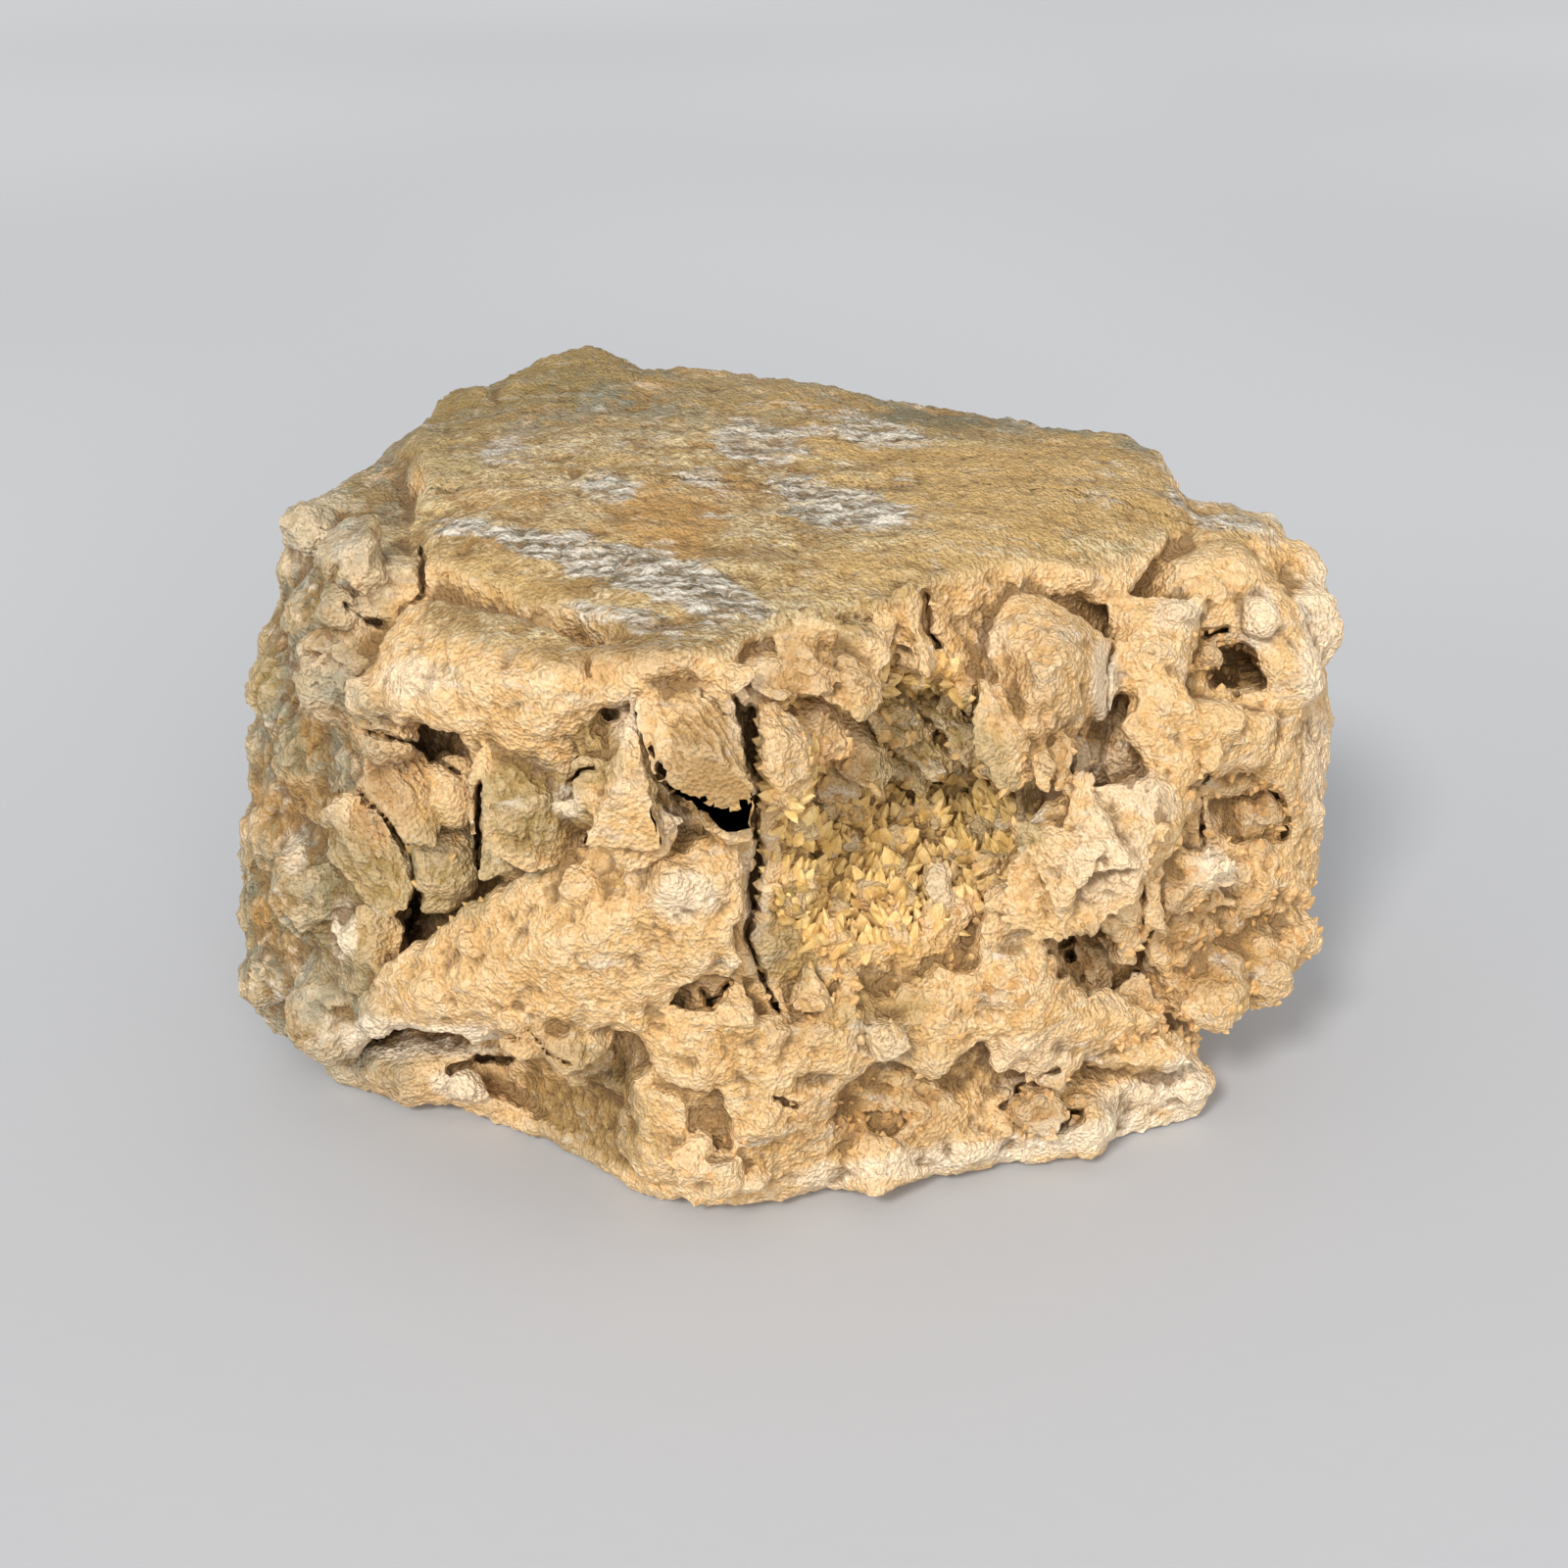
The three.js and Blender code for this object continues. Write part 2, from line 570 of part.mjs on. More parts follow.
// Splits every edge longer than longest(its middle), as often as that takes.
function refined({ points, faces }, longest) {
  for (;;) {
    const middles = new Map();
    const middleOf = (a, b) => {
      const key = a < b ? `${a},${b}` : `${b},${a}`;
      if (!middles.has(key)) {
        const middle = points[a].clone().add(points[b]).multiplyScalar(0.5);
        const long = points[a].distanceTo(points[b]) > longest(middle);
        middles.set(key, long ? points.push(middle) - 1 : -1);
      }
      return middles.get(key);
    };
    faces = faces.flatMap((corners) => {
      const cut = corners.map((corner, k) => middleOf(corner, corners[(k + 1) % 3]));
      const cuts = cut.filter((middle) => middle >= 0).length;
      if (cuts === 0) return [corners];
      if (cuts === 3) {
        return [...corners.map((corner, k) => [corner, cut[k], cut[(k + 2) % 3]]), cut];
      }
      const first = cut.findIndex((middle) => (cuts === 1 ? middle >= 0 : middle < 0));
      const [p, q, r] = [0, 1, 2].map((k) => corners[(first + k) % 3]);
      const [pq, qr, rp] = [0, 1, 2].map((k) => cut[(first + k) % 3]);
      return cuts === 1 ? [[p, pq, r], [pq, q, r]] : [[p, q, qr], [p, qr, rp], [rp, qr, r]];
    });
    if (![...middles.values()].some((middle) => middle >= 0)) return { points, faces };
  }
}

// Draws together every edge shorter than shortest(its middle), where that keeps the surface whole.
function coarsened({ points, faces }, shortest) {
  const around = points.map(() => new Set());
  faces.forEach((face, i) => face.forEach((v) => around[v].add(i)));
  const neighbours = (v) => new Set([...around[v]].flatMap((i) => faces[i]).filter((w) => w !== v));
  const normalOf = (face, moved, place) => {
    const [a, b, c] = face.map((v) => (moved.includes(v) ? place : points[v]));
    return b.clone().sub(a).cross(c.clone().sub(a));
  };
  for (;;) {
    const edges = [];
    faces.forEach((face) => {
      if (!face) return;
      face.forEach((a, k) => {
        const b = face[(k + 1) % 3];
        const length = points[a].distanceTo(points[b]);
        const middle = points[a].clone().add(points[b]).multiplyScalar(0.5);
        if (a < b && length < shortest(middle)) edges.push({ a, b, length, middle });
      });
    });
    edges.sort((one, other) => one.length - other.length);
    const touched = new Set();
    let drawn = 0;
    for (const { a, b, middle } of edges) {
      if (touched.has(a) || touched.has(b)) continue;
      const beside = neighbours(a);
      if ([...neighbours(b)].filter((v) => beside.has(v)).length !== 2) continue;
      const kept = [...around[a], ...around[b]].filter((i) => !(faces[i].includes(a) && faces[i].includes(b)));
      const flips = kept.some((i) => {
        const before = normalOf(faces[i], [], middle);
        const after = normalOf(faces[i], [a, b], middle);
        return after.length() < 1e-3 || before.dot(after) < 0.2 * before.length() * after.length();
      });
      if (flips) continue;
      [...around[a]].filter((i) => faces[i].includes(b)).forEach((i) => {
        faces[i].forEach((v) => around[v].delete(i));
        faces[i] = null;
      });
      around[b].forEach((i) => {
        faces[i] = faces[i].map((v) => (v === b ? a : v));
        around[a].add(i);
      });
      around[b].clear();
      points[a].copy(middle);
      neighbours(a).forEach((v) => touched.add(v));
      touched.add(a);
      drawn += 1;
    }
    if (drawn === 0) return { points, faces: faces.filter((face) => face) };
  }
}

// Moves each point along its normal by amount(point).
function displaced({ points, faces }, amount) {
  const geometry = new THREE.BufferGeometry().setFromPoints(points).setIndex(faces.flat());
  geometry.computeVertexNormals();
  const normals = geometry.getAttribute("normal");
  const moved = points.map((p, i) =>
    new THREE.Vector3().fromBufferAttribute(normals, i).multiplyScalar(amount(p)).add(p),
  );
  return { points: moved, faces };
}

// The largest connected part of a solid.
function largestPart({ points, faces }) {
  const leader = points.map((point, i) => i);
  const find = (v) => {
    while (leader[v] !== v) v = leader[v];
    return v;
  };
  faces.forEach(([a, b, c]) => {
    leader[find(b)] = find(a);
    leader[find(c)] = find(a);
  });
  const groups = new Map();
  faces.forEach((face) => {
    const group = find(face[0]);
    if (!groups.has(group)) groups.set(group, []);
    groups.get(group).push(face);
  });
  const largest = [...groups.values()].sort((one, other) => other.length - one.length)[0];
  return { points, faces: largest };
}

// Even triangles of about the edge length that edge(point) gives.
function even(mesh, edge) {
  return coarsened(refined(mesh, (p) => 1.33 * edge(p)), (p) => 0.75 * edge(p));
}

// The roughness of broken quartz: broad swells, lumps and grains. The slab's top is nearly smooth.
function roughness(p) {
  const swell = 1.1 * noise(p, 24, 0.31);
  const lumps = 1.5 * noise(p, 10, 1.7) + 0.9 * noise(p, 5, 4.1);
  return swell + (p.z > 66 ? 0.35 : 1) * lumps;
}

function formRoughness(p) {
  return 0.9 * noise(p, 9, 2.3) + 0.6 * noise(p, 4.5, 5.9);
}

function stoneEdge(p) {
  const onFront = p.y < 14 + 0.1 * Math.abs(p.x) && p.z > 2 && p.z < 68;
  return onFront ? FRONT_EDGE : REAR_EDGE;
}

// The two kinds of node

const blocks = join([
  hull([...coreSeen.map(seen), ...placed(coreHidden)]),
  hull([...leftFlankSeen.map(seen), ...placed(leftFlankHidden)]),
  hull([...rightFlankSeen.map(seen), ...placed(rightFlankHidden)]),
  hull([...footSeen.map(seen), ...placed(footHidden)]),
  hull([...footLedgeSeen.map(seen), ...placed(footLedgeHidden)]),
  hull([...leftLedgeSeen.map(seen), ...placed(leftLedgeHidden)]),
  ...backLedges.map((ledge) => hull(placed(ledge))),
  ...knobs.map(([column, row, depth, radius]) => knob(seen([column, row, depth]), radius)),
  ...backKnobs.map(([x, y, z, radius]) => knob(new THREE.Vector3(x, y, z), radius)),
]);

// The depth of the broken front at a place along X.
function frontDepth(x) {
  return (x + 8) ** 2 / 180 - 34;
}

// The corners of small crystals that stand on a surface, at least spacing apart, wherever
// allowed(place, normal) holds.
function scattered({ points, faces }, { radius, height, spacing, lean, sink, seed, allowed }) {
  THREE.MathUtils.seededRandom(seed);
  const random = () => THREE.MathUtils.seededRandom();
  const sites = [];
  const crystals = [];
  for (const face of faces) {
    const [p, q, r] = face.map((v) => points[v]);
    const site = meanOf([p, q, r]);
    const normal = q.clone().sub(p).cross(r.clone().sub(p)).normalize();
    if (!allowed(site, normal) || sites.some((other) => other.distanceTo(site) < spacing)) continue;
    sites.push(site);
    const size = radius * (0.75 + 0.6 * random());
    const aside = new THREE.Vector3(random() - 0.5, random() - 0.5, random() - 0.5);
    const axis = normal.clone().addScaledVector(aside, lean).normalize();
    const root = site.clone().addScaledVector(normal, -sink);
    crystals.push(crystalPoints(root, root.clone().addScaledVector(axis, sink + height * size), size, random()));
  }
  return crystals;
}

// The forms that stand out of the front, joined and roughened, and the broken crystals on them.
const standing = join(Object.values(forms).map((form) => hull(formPoints(form))));
const formMesh = displaced(even(listed(standing), stoneEdge), formRoughness);
const brokenCrystals = scattered(formMesh, {
  radius: 3,
  height: 0.7,
  spacing: 8.5,
  lean: 1.6,
  sink: 3,
  seed: 11,
  allowed: (site, normal) => normal.y < -0.25 && site.z > 12 && site.z < 62,
});

function stone() {
  const rough = closed(displaced(even(listed(blocks), stoneEdge), roughness));
  const opened = hollows.reduce(
    (body, { mouth, walls }) => body.subtract(hull([...mouth, ...walls].map(seen))),
    rough,
  );
  const ground = solid(new THREE.BoxGeometry(400, 400, 40).translate(0, 0, -20));
  const whole = join([opened, closed(formMesh), ...brokenCrystals.map(hull)]).subtract(ground);
  return largestPart(coarsened(listed(whole), () => SHORTEST_EDGE));
}

// The crust of the main hollow: a lining that thins out at the mouth, the steps and blades that stand in
// it, and small crystals.
function crust() {
  const corners = [...mainHollow.mouth, ...mainHollow.walls].map(seen);
  const outerCorners = spread(corners, -CRUST_GAP - 0.4);
  const innerCorners = spread(corners, -CRUST_GAP - 0.4 - LINING_THICKNESS);
  const mouthCount = mainHollow.mouth.length;
  const flared = [...outerCorners.slice(0, mouthCount), ...innerCorners.slice(mouthCount)];
  const outer = hull(outerCorners);
  const wallMesh = displaced(even(listed(hull(flared)), () => LINING_EDGE), (p) => 0.8 * noise(p, 7, 8.2));
  const lining = outer.intersect(blocks).subtract(closed(wallMesh));
  const facingIn = { points: wallMesh.points, faces: wallMesh.faces.map(([a, b, c]) => [a, c, b]) };
  const crystals = scattered(refined(facingIn, () => 3), {
    radius: 1.9,
    height: 1.9,
    spacing: 4.2,
    lean: 0.9,
    sink: 1.2,
    seed: 7,
    allowed: (site) => site.y > frontDepth(site.x) - 1,
  });
  const blades = Object.values(mainHollowForms).map(formPoints);
  const overhangs = join([
    ...Object.values(forms).map((form) => hull(spread(formPoints(form), FORM_GAP))),
    ...brokenCrystals.map((points) => hull(spread(points, CRUST_GAP))),
  ]);
  const whole = join([lining, ...[...crystals, ...blades].map(hull)]).intersect(outer).subtract(overhangs);
  return largestPart(coarsened(listed(whole), () => SHORTEST_EDGE));
}

const specimen = new THREE.Group();

function addNode(name, { points, faces }, colour, roughnessOfSurface) {
  const geometry = new THREE.BufferGeometry().setFromPoints(points).setIndex(faces.flat());
  geometry.computeVertexNormals();
  const material = new THREE.MeshStandardMaterial({
    color: colour,
    roughness: roughnessOfSurface,
    metalness: 0,
    flatShading: true,
  });
  const node = new THREE.Mesh(geometry, material);
  node.name = name;
  specimen.add(node);
}

addNode("quartz_stone", stone(), 0xd9b98a, 0.85);
addNode("crystal_crust", crust(), 0xc3ab6c, 0.7);
// The origin is the middle of the specimen's bounding box, on the surface that it rests on.
const bounds = new THREE.Box3().setFromObject(specimen);
const middle = bounds.getCenter(new THREE.Vector3());
specimen.position.set(-middle.x, -middle.y, -bounds.min.z);

export default specimen;
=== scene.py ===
"""Looks of the quartz specimen: a broken block of vein quartz under a slab of stained wall rock.

The block and the crust of its main hollow are sculpted from their solids. Each solid becomes a field of
signed distances, where crystals are joined on and cracks are cut, and the surface of that field is then
roughened by noise and cells that differ from place to place. Small crystals are grown on the rough surface.
Places on the seen side are given by pixels of the photograph, and fall on the surface that the view shows
there. Lengths are millimetres until a mesh is written, in the row frame moved so that the view's axis is
x = y = 0.
"""

import logging
import math
from dataclasses import dataclass
from enum import Enum
from typing import Any, Callable

import bpy
import numpy as np
import openvdb
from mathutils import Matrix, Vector

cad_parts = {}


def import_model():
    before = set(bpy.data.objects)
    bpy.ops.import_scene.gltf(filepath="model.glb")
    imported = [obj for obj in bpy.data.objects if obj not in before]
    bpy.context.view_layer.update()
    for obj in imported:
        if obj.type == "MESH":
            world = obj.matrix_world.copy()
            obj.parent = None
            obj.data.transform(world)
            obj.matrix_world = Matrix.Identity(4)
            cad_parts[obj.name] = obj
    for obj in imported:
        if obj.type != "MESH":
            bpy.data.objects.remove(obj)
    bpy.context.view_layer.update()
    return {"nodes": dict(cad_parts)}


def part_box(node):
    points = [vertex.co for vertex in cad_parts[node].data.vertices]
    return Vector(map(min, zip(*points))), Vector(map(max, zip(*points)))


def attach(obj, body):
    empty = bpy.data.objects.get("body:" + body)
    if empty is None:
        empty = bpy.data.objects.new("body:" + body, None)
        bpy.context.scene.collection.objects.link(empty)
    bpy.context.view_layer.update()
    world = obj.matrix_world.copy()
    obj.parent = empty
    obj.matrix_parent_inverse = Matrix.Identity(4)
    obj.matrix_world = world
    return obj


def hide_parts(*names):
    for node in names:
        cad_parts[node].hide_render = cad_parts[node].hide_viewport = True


LOG = logging.getLogger("quartz_specimen")

Array = np.ndarray
Pixel = tuple[float, float]

MM = 0.001
VIEW_SIDE = 1600
VIEW_ANGLE = math.radians(35)
VIEW_ELEVATION = math.radians(25)
VIEW_DISTANCE = 290.0
VIEW_AIM_HEIGHT = 38.0
VIEW_AXIS = np.array([0.113, -10.206, 0.0])

FOCAL = VIEW_SIDE / 2 / math.tan(VIEW_ANGLE / 2)
RIGHT = np.array([1.0, 0.0, 0.0])
UP = np.array([0.0, math.sin(VIEW_ELEVATION), math.cos(VIEW_ELEVATION)])
NEARER = np.array([0.0, -math.cos(VIEW_ELEVATION), math.sin(VIEW_ELEVATION)])
EYE = np.array([0.0, 0.0, VIEW_AIM_HEIGHT]) + NEARER * VIEW_DISTANCE
MM_A_PIXEL = VIEW_DISTANCE / FOCAL

GROWTH_WAY = np.array([-0.2, -0.3, 1.0])
LENS_RINGS = ((-0.5, 0.7), (0.05, 1.0), (0.58, 0.62))
FEATURE_MARGIN = 0.08
FEATURE_SPREAD = 0.84
FINE_RELIEF = 0.22
WIDE_RELIEF = 1.2
FINE_SHARE = 0.3


class Look(Enum):
    """The masks that the finishes read, by the name of their attribute."""

    SLAB = "slab"
    SILVER = "silver"
    RUST = "rust"
    OCHRE = "ochre"
    PALE = "pale"
    BROWN = "brown"
    OLIVE = "olive"
    FLANK = "flank"
    RELIEF = "relief"
    HOLLOW = "hollow"
    TINT = "tint"


def smoothstep(low: float, high: float, values: Array) -> Array:
    """A step from 0 to 1 between two limits, level at both: t times t times (3 - 2t)."""
    t = np.clip((values - low) / (high - low), 0.0, 1.0)
    return t * t * (3.0 - 2.0 * t)


def lengths(vectors: Array) -> Array:
    """The length of each row."""
    return np.sqrt(np.einsum("ij,ij->i", vectors, vectors))


def scrambled(corners: Array, seed: int) -> Array:
    """An even random number from 0 to 1 for each whole-number corner.

    Args:
        corners: Whole numbers with three columns.
        seed: Chooses the set of numbers.

    Returns:
        One number a row, from an integer hash of the three columns and the seed.
    """
    x, y, z = (corners[..., k].astype(np.int64).astype(np.uint32) for k in range(3))
    h = x * np.uint32(374761393) + y * np.uint32(668265263) + z * np.uint32(2246822519)
    h = h + np.uint32((seed * 3266489917) & 0xFFFFFFFF)
    h = (h ^ (h >> np.uint32(15))) * np.uint32(2246822519)
    h = (h ^ (h >> np.uint32(13))) * np.uint32(3266489917)
    return (h ^ (h >> np.uint32(16))).astype(np.float64) / 4294967296.0


def scrambled_three(corners: Array, seed: int) -> Array:
    """Three even random numbers from 0 to 1 for each whole-number corner."""
    return np.stack([scrambled(corners, seed + k) for k in (0, 1, 2)], axis=-1)


def feature_points(cell: Array, seed: int) -> Array:
    """One random point in each cube of a grid: its corner plus a margin plus random shares of the rest."""
    return cell + FEATURE_MARGIN + FEATURE_SPREAD * scrambled_three(cell, seed)


def noise(points: Array, size: float, seed: int) -> Array:
    """Smooth noise from about -1 to 1 with bumps of a given size.

    Each corner of a grid has a random slope. The value is each corner's slope times the way from it,
    blended by the fade t cubed times (6 t squared - 15 t + 10).

    Args:
        points: Places, with three columns.
        size: The grid's step in millimetres.
        seed: Chooses the slopes.

    Returns:
        One value a point.
    """
    scaled = points / size
    base = np.floor(scaled)
    part = scaled - base
    fade = part**3 * (part * (part * 6.0 - 15.0) + 10.0)
    total = np.zeros(len(points))
    for corner in np.ndindex(2, 2, 2):
        offset = np.array(corner, dtype=float)
        cell = base + offset
        slope = scrambled_three(cell, seed) * 2.0 - 1.0
        weight = np.prod(np.where(offset > 0, fade, 1.0 - fade), axis=-1)
        total += weight * np.einsum("ij,ij->i", slope, part - offset)
    return total * 1.5


def layered(points: Array, size: float, seed: int, layers: int = 3, keep: float = 0.5) -> Array:
    """Noise summed over layers, each with bumps half as large and keep times as high."""
    return sum(keep**k * noise(points, size / 2**k, seed + 17 * k) for k in range(layers))


def ragged_edge(points: Array) -> Array:
    """The shift that makes the edges of masks ragged: four layers of noise, each 0.6 times the one before."""
    return 0.32 * layered(points, 5.0, 41, 4, 0.6)


@dataclass
class Cells:
    """Random cells around feature points, one in each cube of a grid.

    The offset is the way from the nearest feature point in cube sides, and the numbers are three random
    values of that point.
    """

    offset: Array
    number: Array


def cells(points: Array, size: float, seed: int) -> Cells:
    """Finds each point's nearest feature point among the eight cubes closest to it.

    Args:
        points: Places, with three columns.
        size: The cubes' side in millimetres.
        seed: Chooses the feature points.

    Returns:
        The cells that the points lie in.
    """
    scaled = points / size
    base = np.floor(scaled - 0.5)
    nearest = np.full(len(points), np.inf)
    offset = np.zeros_like(points)
    owner = np.zeros_like(points)
    for shift in np.ndindex(2, 2, 2):
        cell = base + np.array(shift, dtype=float)
        way = scaled - feature_points(cell, seed)
        distance = lengths(way)
        closer = distance < nearest
        offset = np.where(closer[:, None], way, offset)
        owner = np.where(closer[:, None], cell, owner)
        nearest = np.where(closer, distance, nearest)
    return Cells(offset, scrambled_three(owner, seed + 7))


def chipped(points: Array, size: float, seed: int, tilt: float = 0.9, step: float = 0.5) -> Array:
    """Height of a surface broken into flat chips: each cell is a plane with its own tilt and level.

    Args:
        points: Places, with three columns.
        size: The chips' size in millimetres.
        seed: Chooses the chips.
        tilt: Steepness of the planes.
        step: Difference of level between neighbours, in chip sizes.

    Returns:
        Heights in millimetres, about even around 0.
    """
    found = cells(points, size, seed)
    slope = found.number * 2.0 - 1.0
    plane = np.einsum("ij,ij->i", slope, found.offset) * tilt
    level = (found.number[:, 0] + found.number[:, 1] - 1.0) * step
    return (plane + level) * size


def turned_frames(count: int, seed: int) -> Array:
    """Random frames of three unit rows at right angles, from the QR parts of random matrices."""
    return np.linalg.qr(np.random.default_rng(seed).normal(size=(count, 3, 3)))[0]


TURNED_FRAMES = turned_frames(64, 5)


def crystalline(points: Array, size: float, seed: int, slender: float = 0.6, pointed: float = 0.6) -> Array:
    """Height of crystals with flat faces that are grown together.

    Each cube of a grid holds one crystal's middle. The way from it is measured along the crystal's own
    turned axes, two of them divided by the slenderness. The distance is a mix of the sum and the largest of
    the three, less a random lift, and the height is 0.8 minus the least distance.

    Args:
        points: Places, with three columns.
        size: The cubes' side in millimetres.
        seed: Chooses the crystals.
        slender: Width over length.
        pointed: Share of the sum, which makes eight-faced crystals; the largest makes blocks.

    Returns:
        Heights in millimetres.
    """
    scaled = points / size
    base = np.floor(scaled - 0.5)
    nearest = np.full(len(points), np.inf)
    shape = np.array([1.0, slender, slender])
    for shift in np.ndindex(2, 2, 2):
        cell = base + np.array(shift, dtype=float)
        way = scaled - feature_points(cell, seed)
        turned = TURNED_FRAMES[(scrambled(cell, seed + 3) * len(TURNED_FRAMES)).astype(int)]
        along = np.abs(np.einsum("ijk,ik->ij", turned, way)) / shape
        distance = pointed * along.sum(axis=1) / 1.7 + (1.0 - pointed) * along.max(axis=1)
        nearest = np.minimum(nearest, distance - 0.3 * scrambled(cell, seed + 4))
    return (0.8 - nearest) * size


@dataclass(frozen=True)
class Waves:
    """Rolling relief: layers of noise, times a share of their height."""

    share: float
    size: float
    seed: int
    layers: int = 3
    keep: float = 0.5

    def heights(self, points: Array) -> Array:
        """The relief at points, in millimetres."""
        return self.share * layered(points, self.size, self.seed, self.layers, self.keep)


@dataclass(frozen=True)
class Chips:
    """Relief of flat chips, times a share of their height."""

    share: float
    size: float
    seed: int
    tilt: float = 0.9
    step: float = 0.5

    def heights(self, points: Array) -> Array:
        """The relief at points, in millimetres."""
        return self.share * chipped(points, self.size, self.seed, self.tilt, self.step)


@dataclass(frozen=True)
class Grains:
    """Relief of crystals grown together, times a share of their height."""

    share: float
    size: float
    seed: int
    slender: float = 0.6
    pointed: float = 0.6

    def heights(self, points: Array) -> Array:
        """The relief at points, in millimetres."""
        return self.share * crystalline(points, self.size, self.seed, self.slender, self.pointed)


def only_where(mask: Array, points: Array, height: Callable[[Array], Array]) -> Array:
    """A height worked out only where its mask is above 0, times the mask."""
    out = np.zeros(len(points))
    index = np.flatnonzero(mask > 0.004)
    out[index] = mask[index] * height(points[index])
    return out


@dataclass(frozen=True)
class Sight:
    """Where points appear in the photograph, and how far they are from the eye."""

    column: Array
    row: Array
    distance: Array


def sight(points: Array) -> Sight:
    """Projects points: the way from the eye, divided by its part along the view, times the focal length."""
    way = points - EYE
    distance = -(way @ NEARER)
    column = VIEW_SIDE / 2 + FOCAL * (way @ RIGHT) / distance
    row = VIEW_SIDE / 2 - FOCAL * (way @ UP) / distance
    return Sight(column, row, distance)


class Shell:
    """The surface that the view shows: the smallest distance from the eye in each square of the picture."""

    CELL = 6.0

    def __init__(self, points: Array) -> None:
        """Sorts points close to a surface into squares of the picture.

        Args:
            points: Places on the surface, closer together than a square.
        """
        seen = sight(points)
        count = int(VIEW_SIDE / self.CELL) + 1
        square = self.squares(seen, count)
        self.nearest = np.full(count * count, np.inf)
        np.minimum.at(self.nearest, square, seen.distance)
        grid = self.nearest.reshape(count, count)
        for axis in (0, 1):
            for step in (-1, 1):
                grid = np.where(np.isinf(grid), np.roll(grid, step, axis), grid)
        self.nearest = grid.ravel()
        self.count = count

    def squares(self, seen: Sight, count: int) -> Array:
        """The number of each point's square."""
        column = np.clip(seen.column / self.CELL, 0, count - 1).astype(int)
        row = np.clip(seen.row / self.CELL, 0, count - 1).astype(int)
        return row * count + column

    def behind(self, seen: Sight) -> Array:
        """How far each point lies behind the shown surface."""
        return seen.distance - self.nearest[self.squares(seen, self.count)]

    def at(self, pixel: Pixel, forward: float = 0.0) -> Array:
        """The point of the shown surface at a pixel, moved towards the eye.

        Args:
            pixel: Column and row.
            forward: Millimetres in front of the surface.

        Returns:
            The point.
        """
        here = Sight(np.array([pixel[0]]), np.array([pixel[1]]), np.array([0.0]))
        distance = float(self.nearest[self.squares(here, self.count)][0])
        if not math.isfinite(distance):
            distance = VIEW_DISTANCE
        across = (pixel[0] - VIEW_SIDE / 2) / FOCAL
        upward = (VIEW_SIDE / 2 - pixel[1]) / FOCAL
        return EYE + (RIGHT * across + UP * upward - NEARER) * (distance - forward)


@dataclass(frozen=True)
class Spot:
    """An ellipse of the picture with a ragged edge, on the surface that shows there."""

    centre: Pixel
    across: float
    along: float
    turn: float = 0.0
    strength: float = 1.0

    def mask(self, seen: Sight, behind: Array, ragged: Array) -> Array:
        """How much of the spot each point has.

        The way from the centre is turned and divided by the two half sizes. The mask falls from 1 to 0 where
        its length plus the ragged value passes 1, and with the distance behind the shown surface.

        Args:
            seen: The points in the picture.
            behind: Their distances behind the shown surface.
            ragged: One shift a point.

        Returns:
            A share from 0 to 1 for each point.
        """
        angle = math.radians(self.turn)
        x, y = seen.column - self.centre[0], seen.row - self.centre[1]
        u = (x * math.cos(angle) + y * math.sin(angle)) / self.across
        v = (y * math.cos(angle) - x * math.sin(angle)) / self.along
        reach = np.sqrt(u * u + v * v) + ragged
        return self.strength * (1.0 - smoothstep(0.7, 1.15, reach)) * (1.0 - smoothstep(4.0, 9.0, behind))


def covered(spots: list[Spot], seen: Sight, behind: Array, ragged: Array) -> Array:
    """The sum of several spots' masks, at most 1."""
    return np.clip(sum(spot.mask(seen, behind, ragged) for spot in spots), 0.0, 1.0)


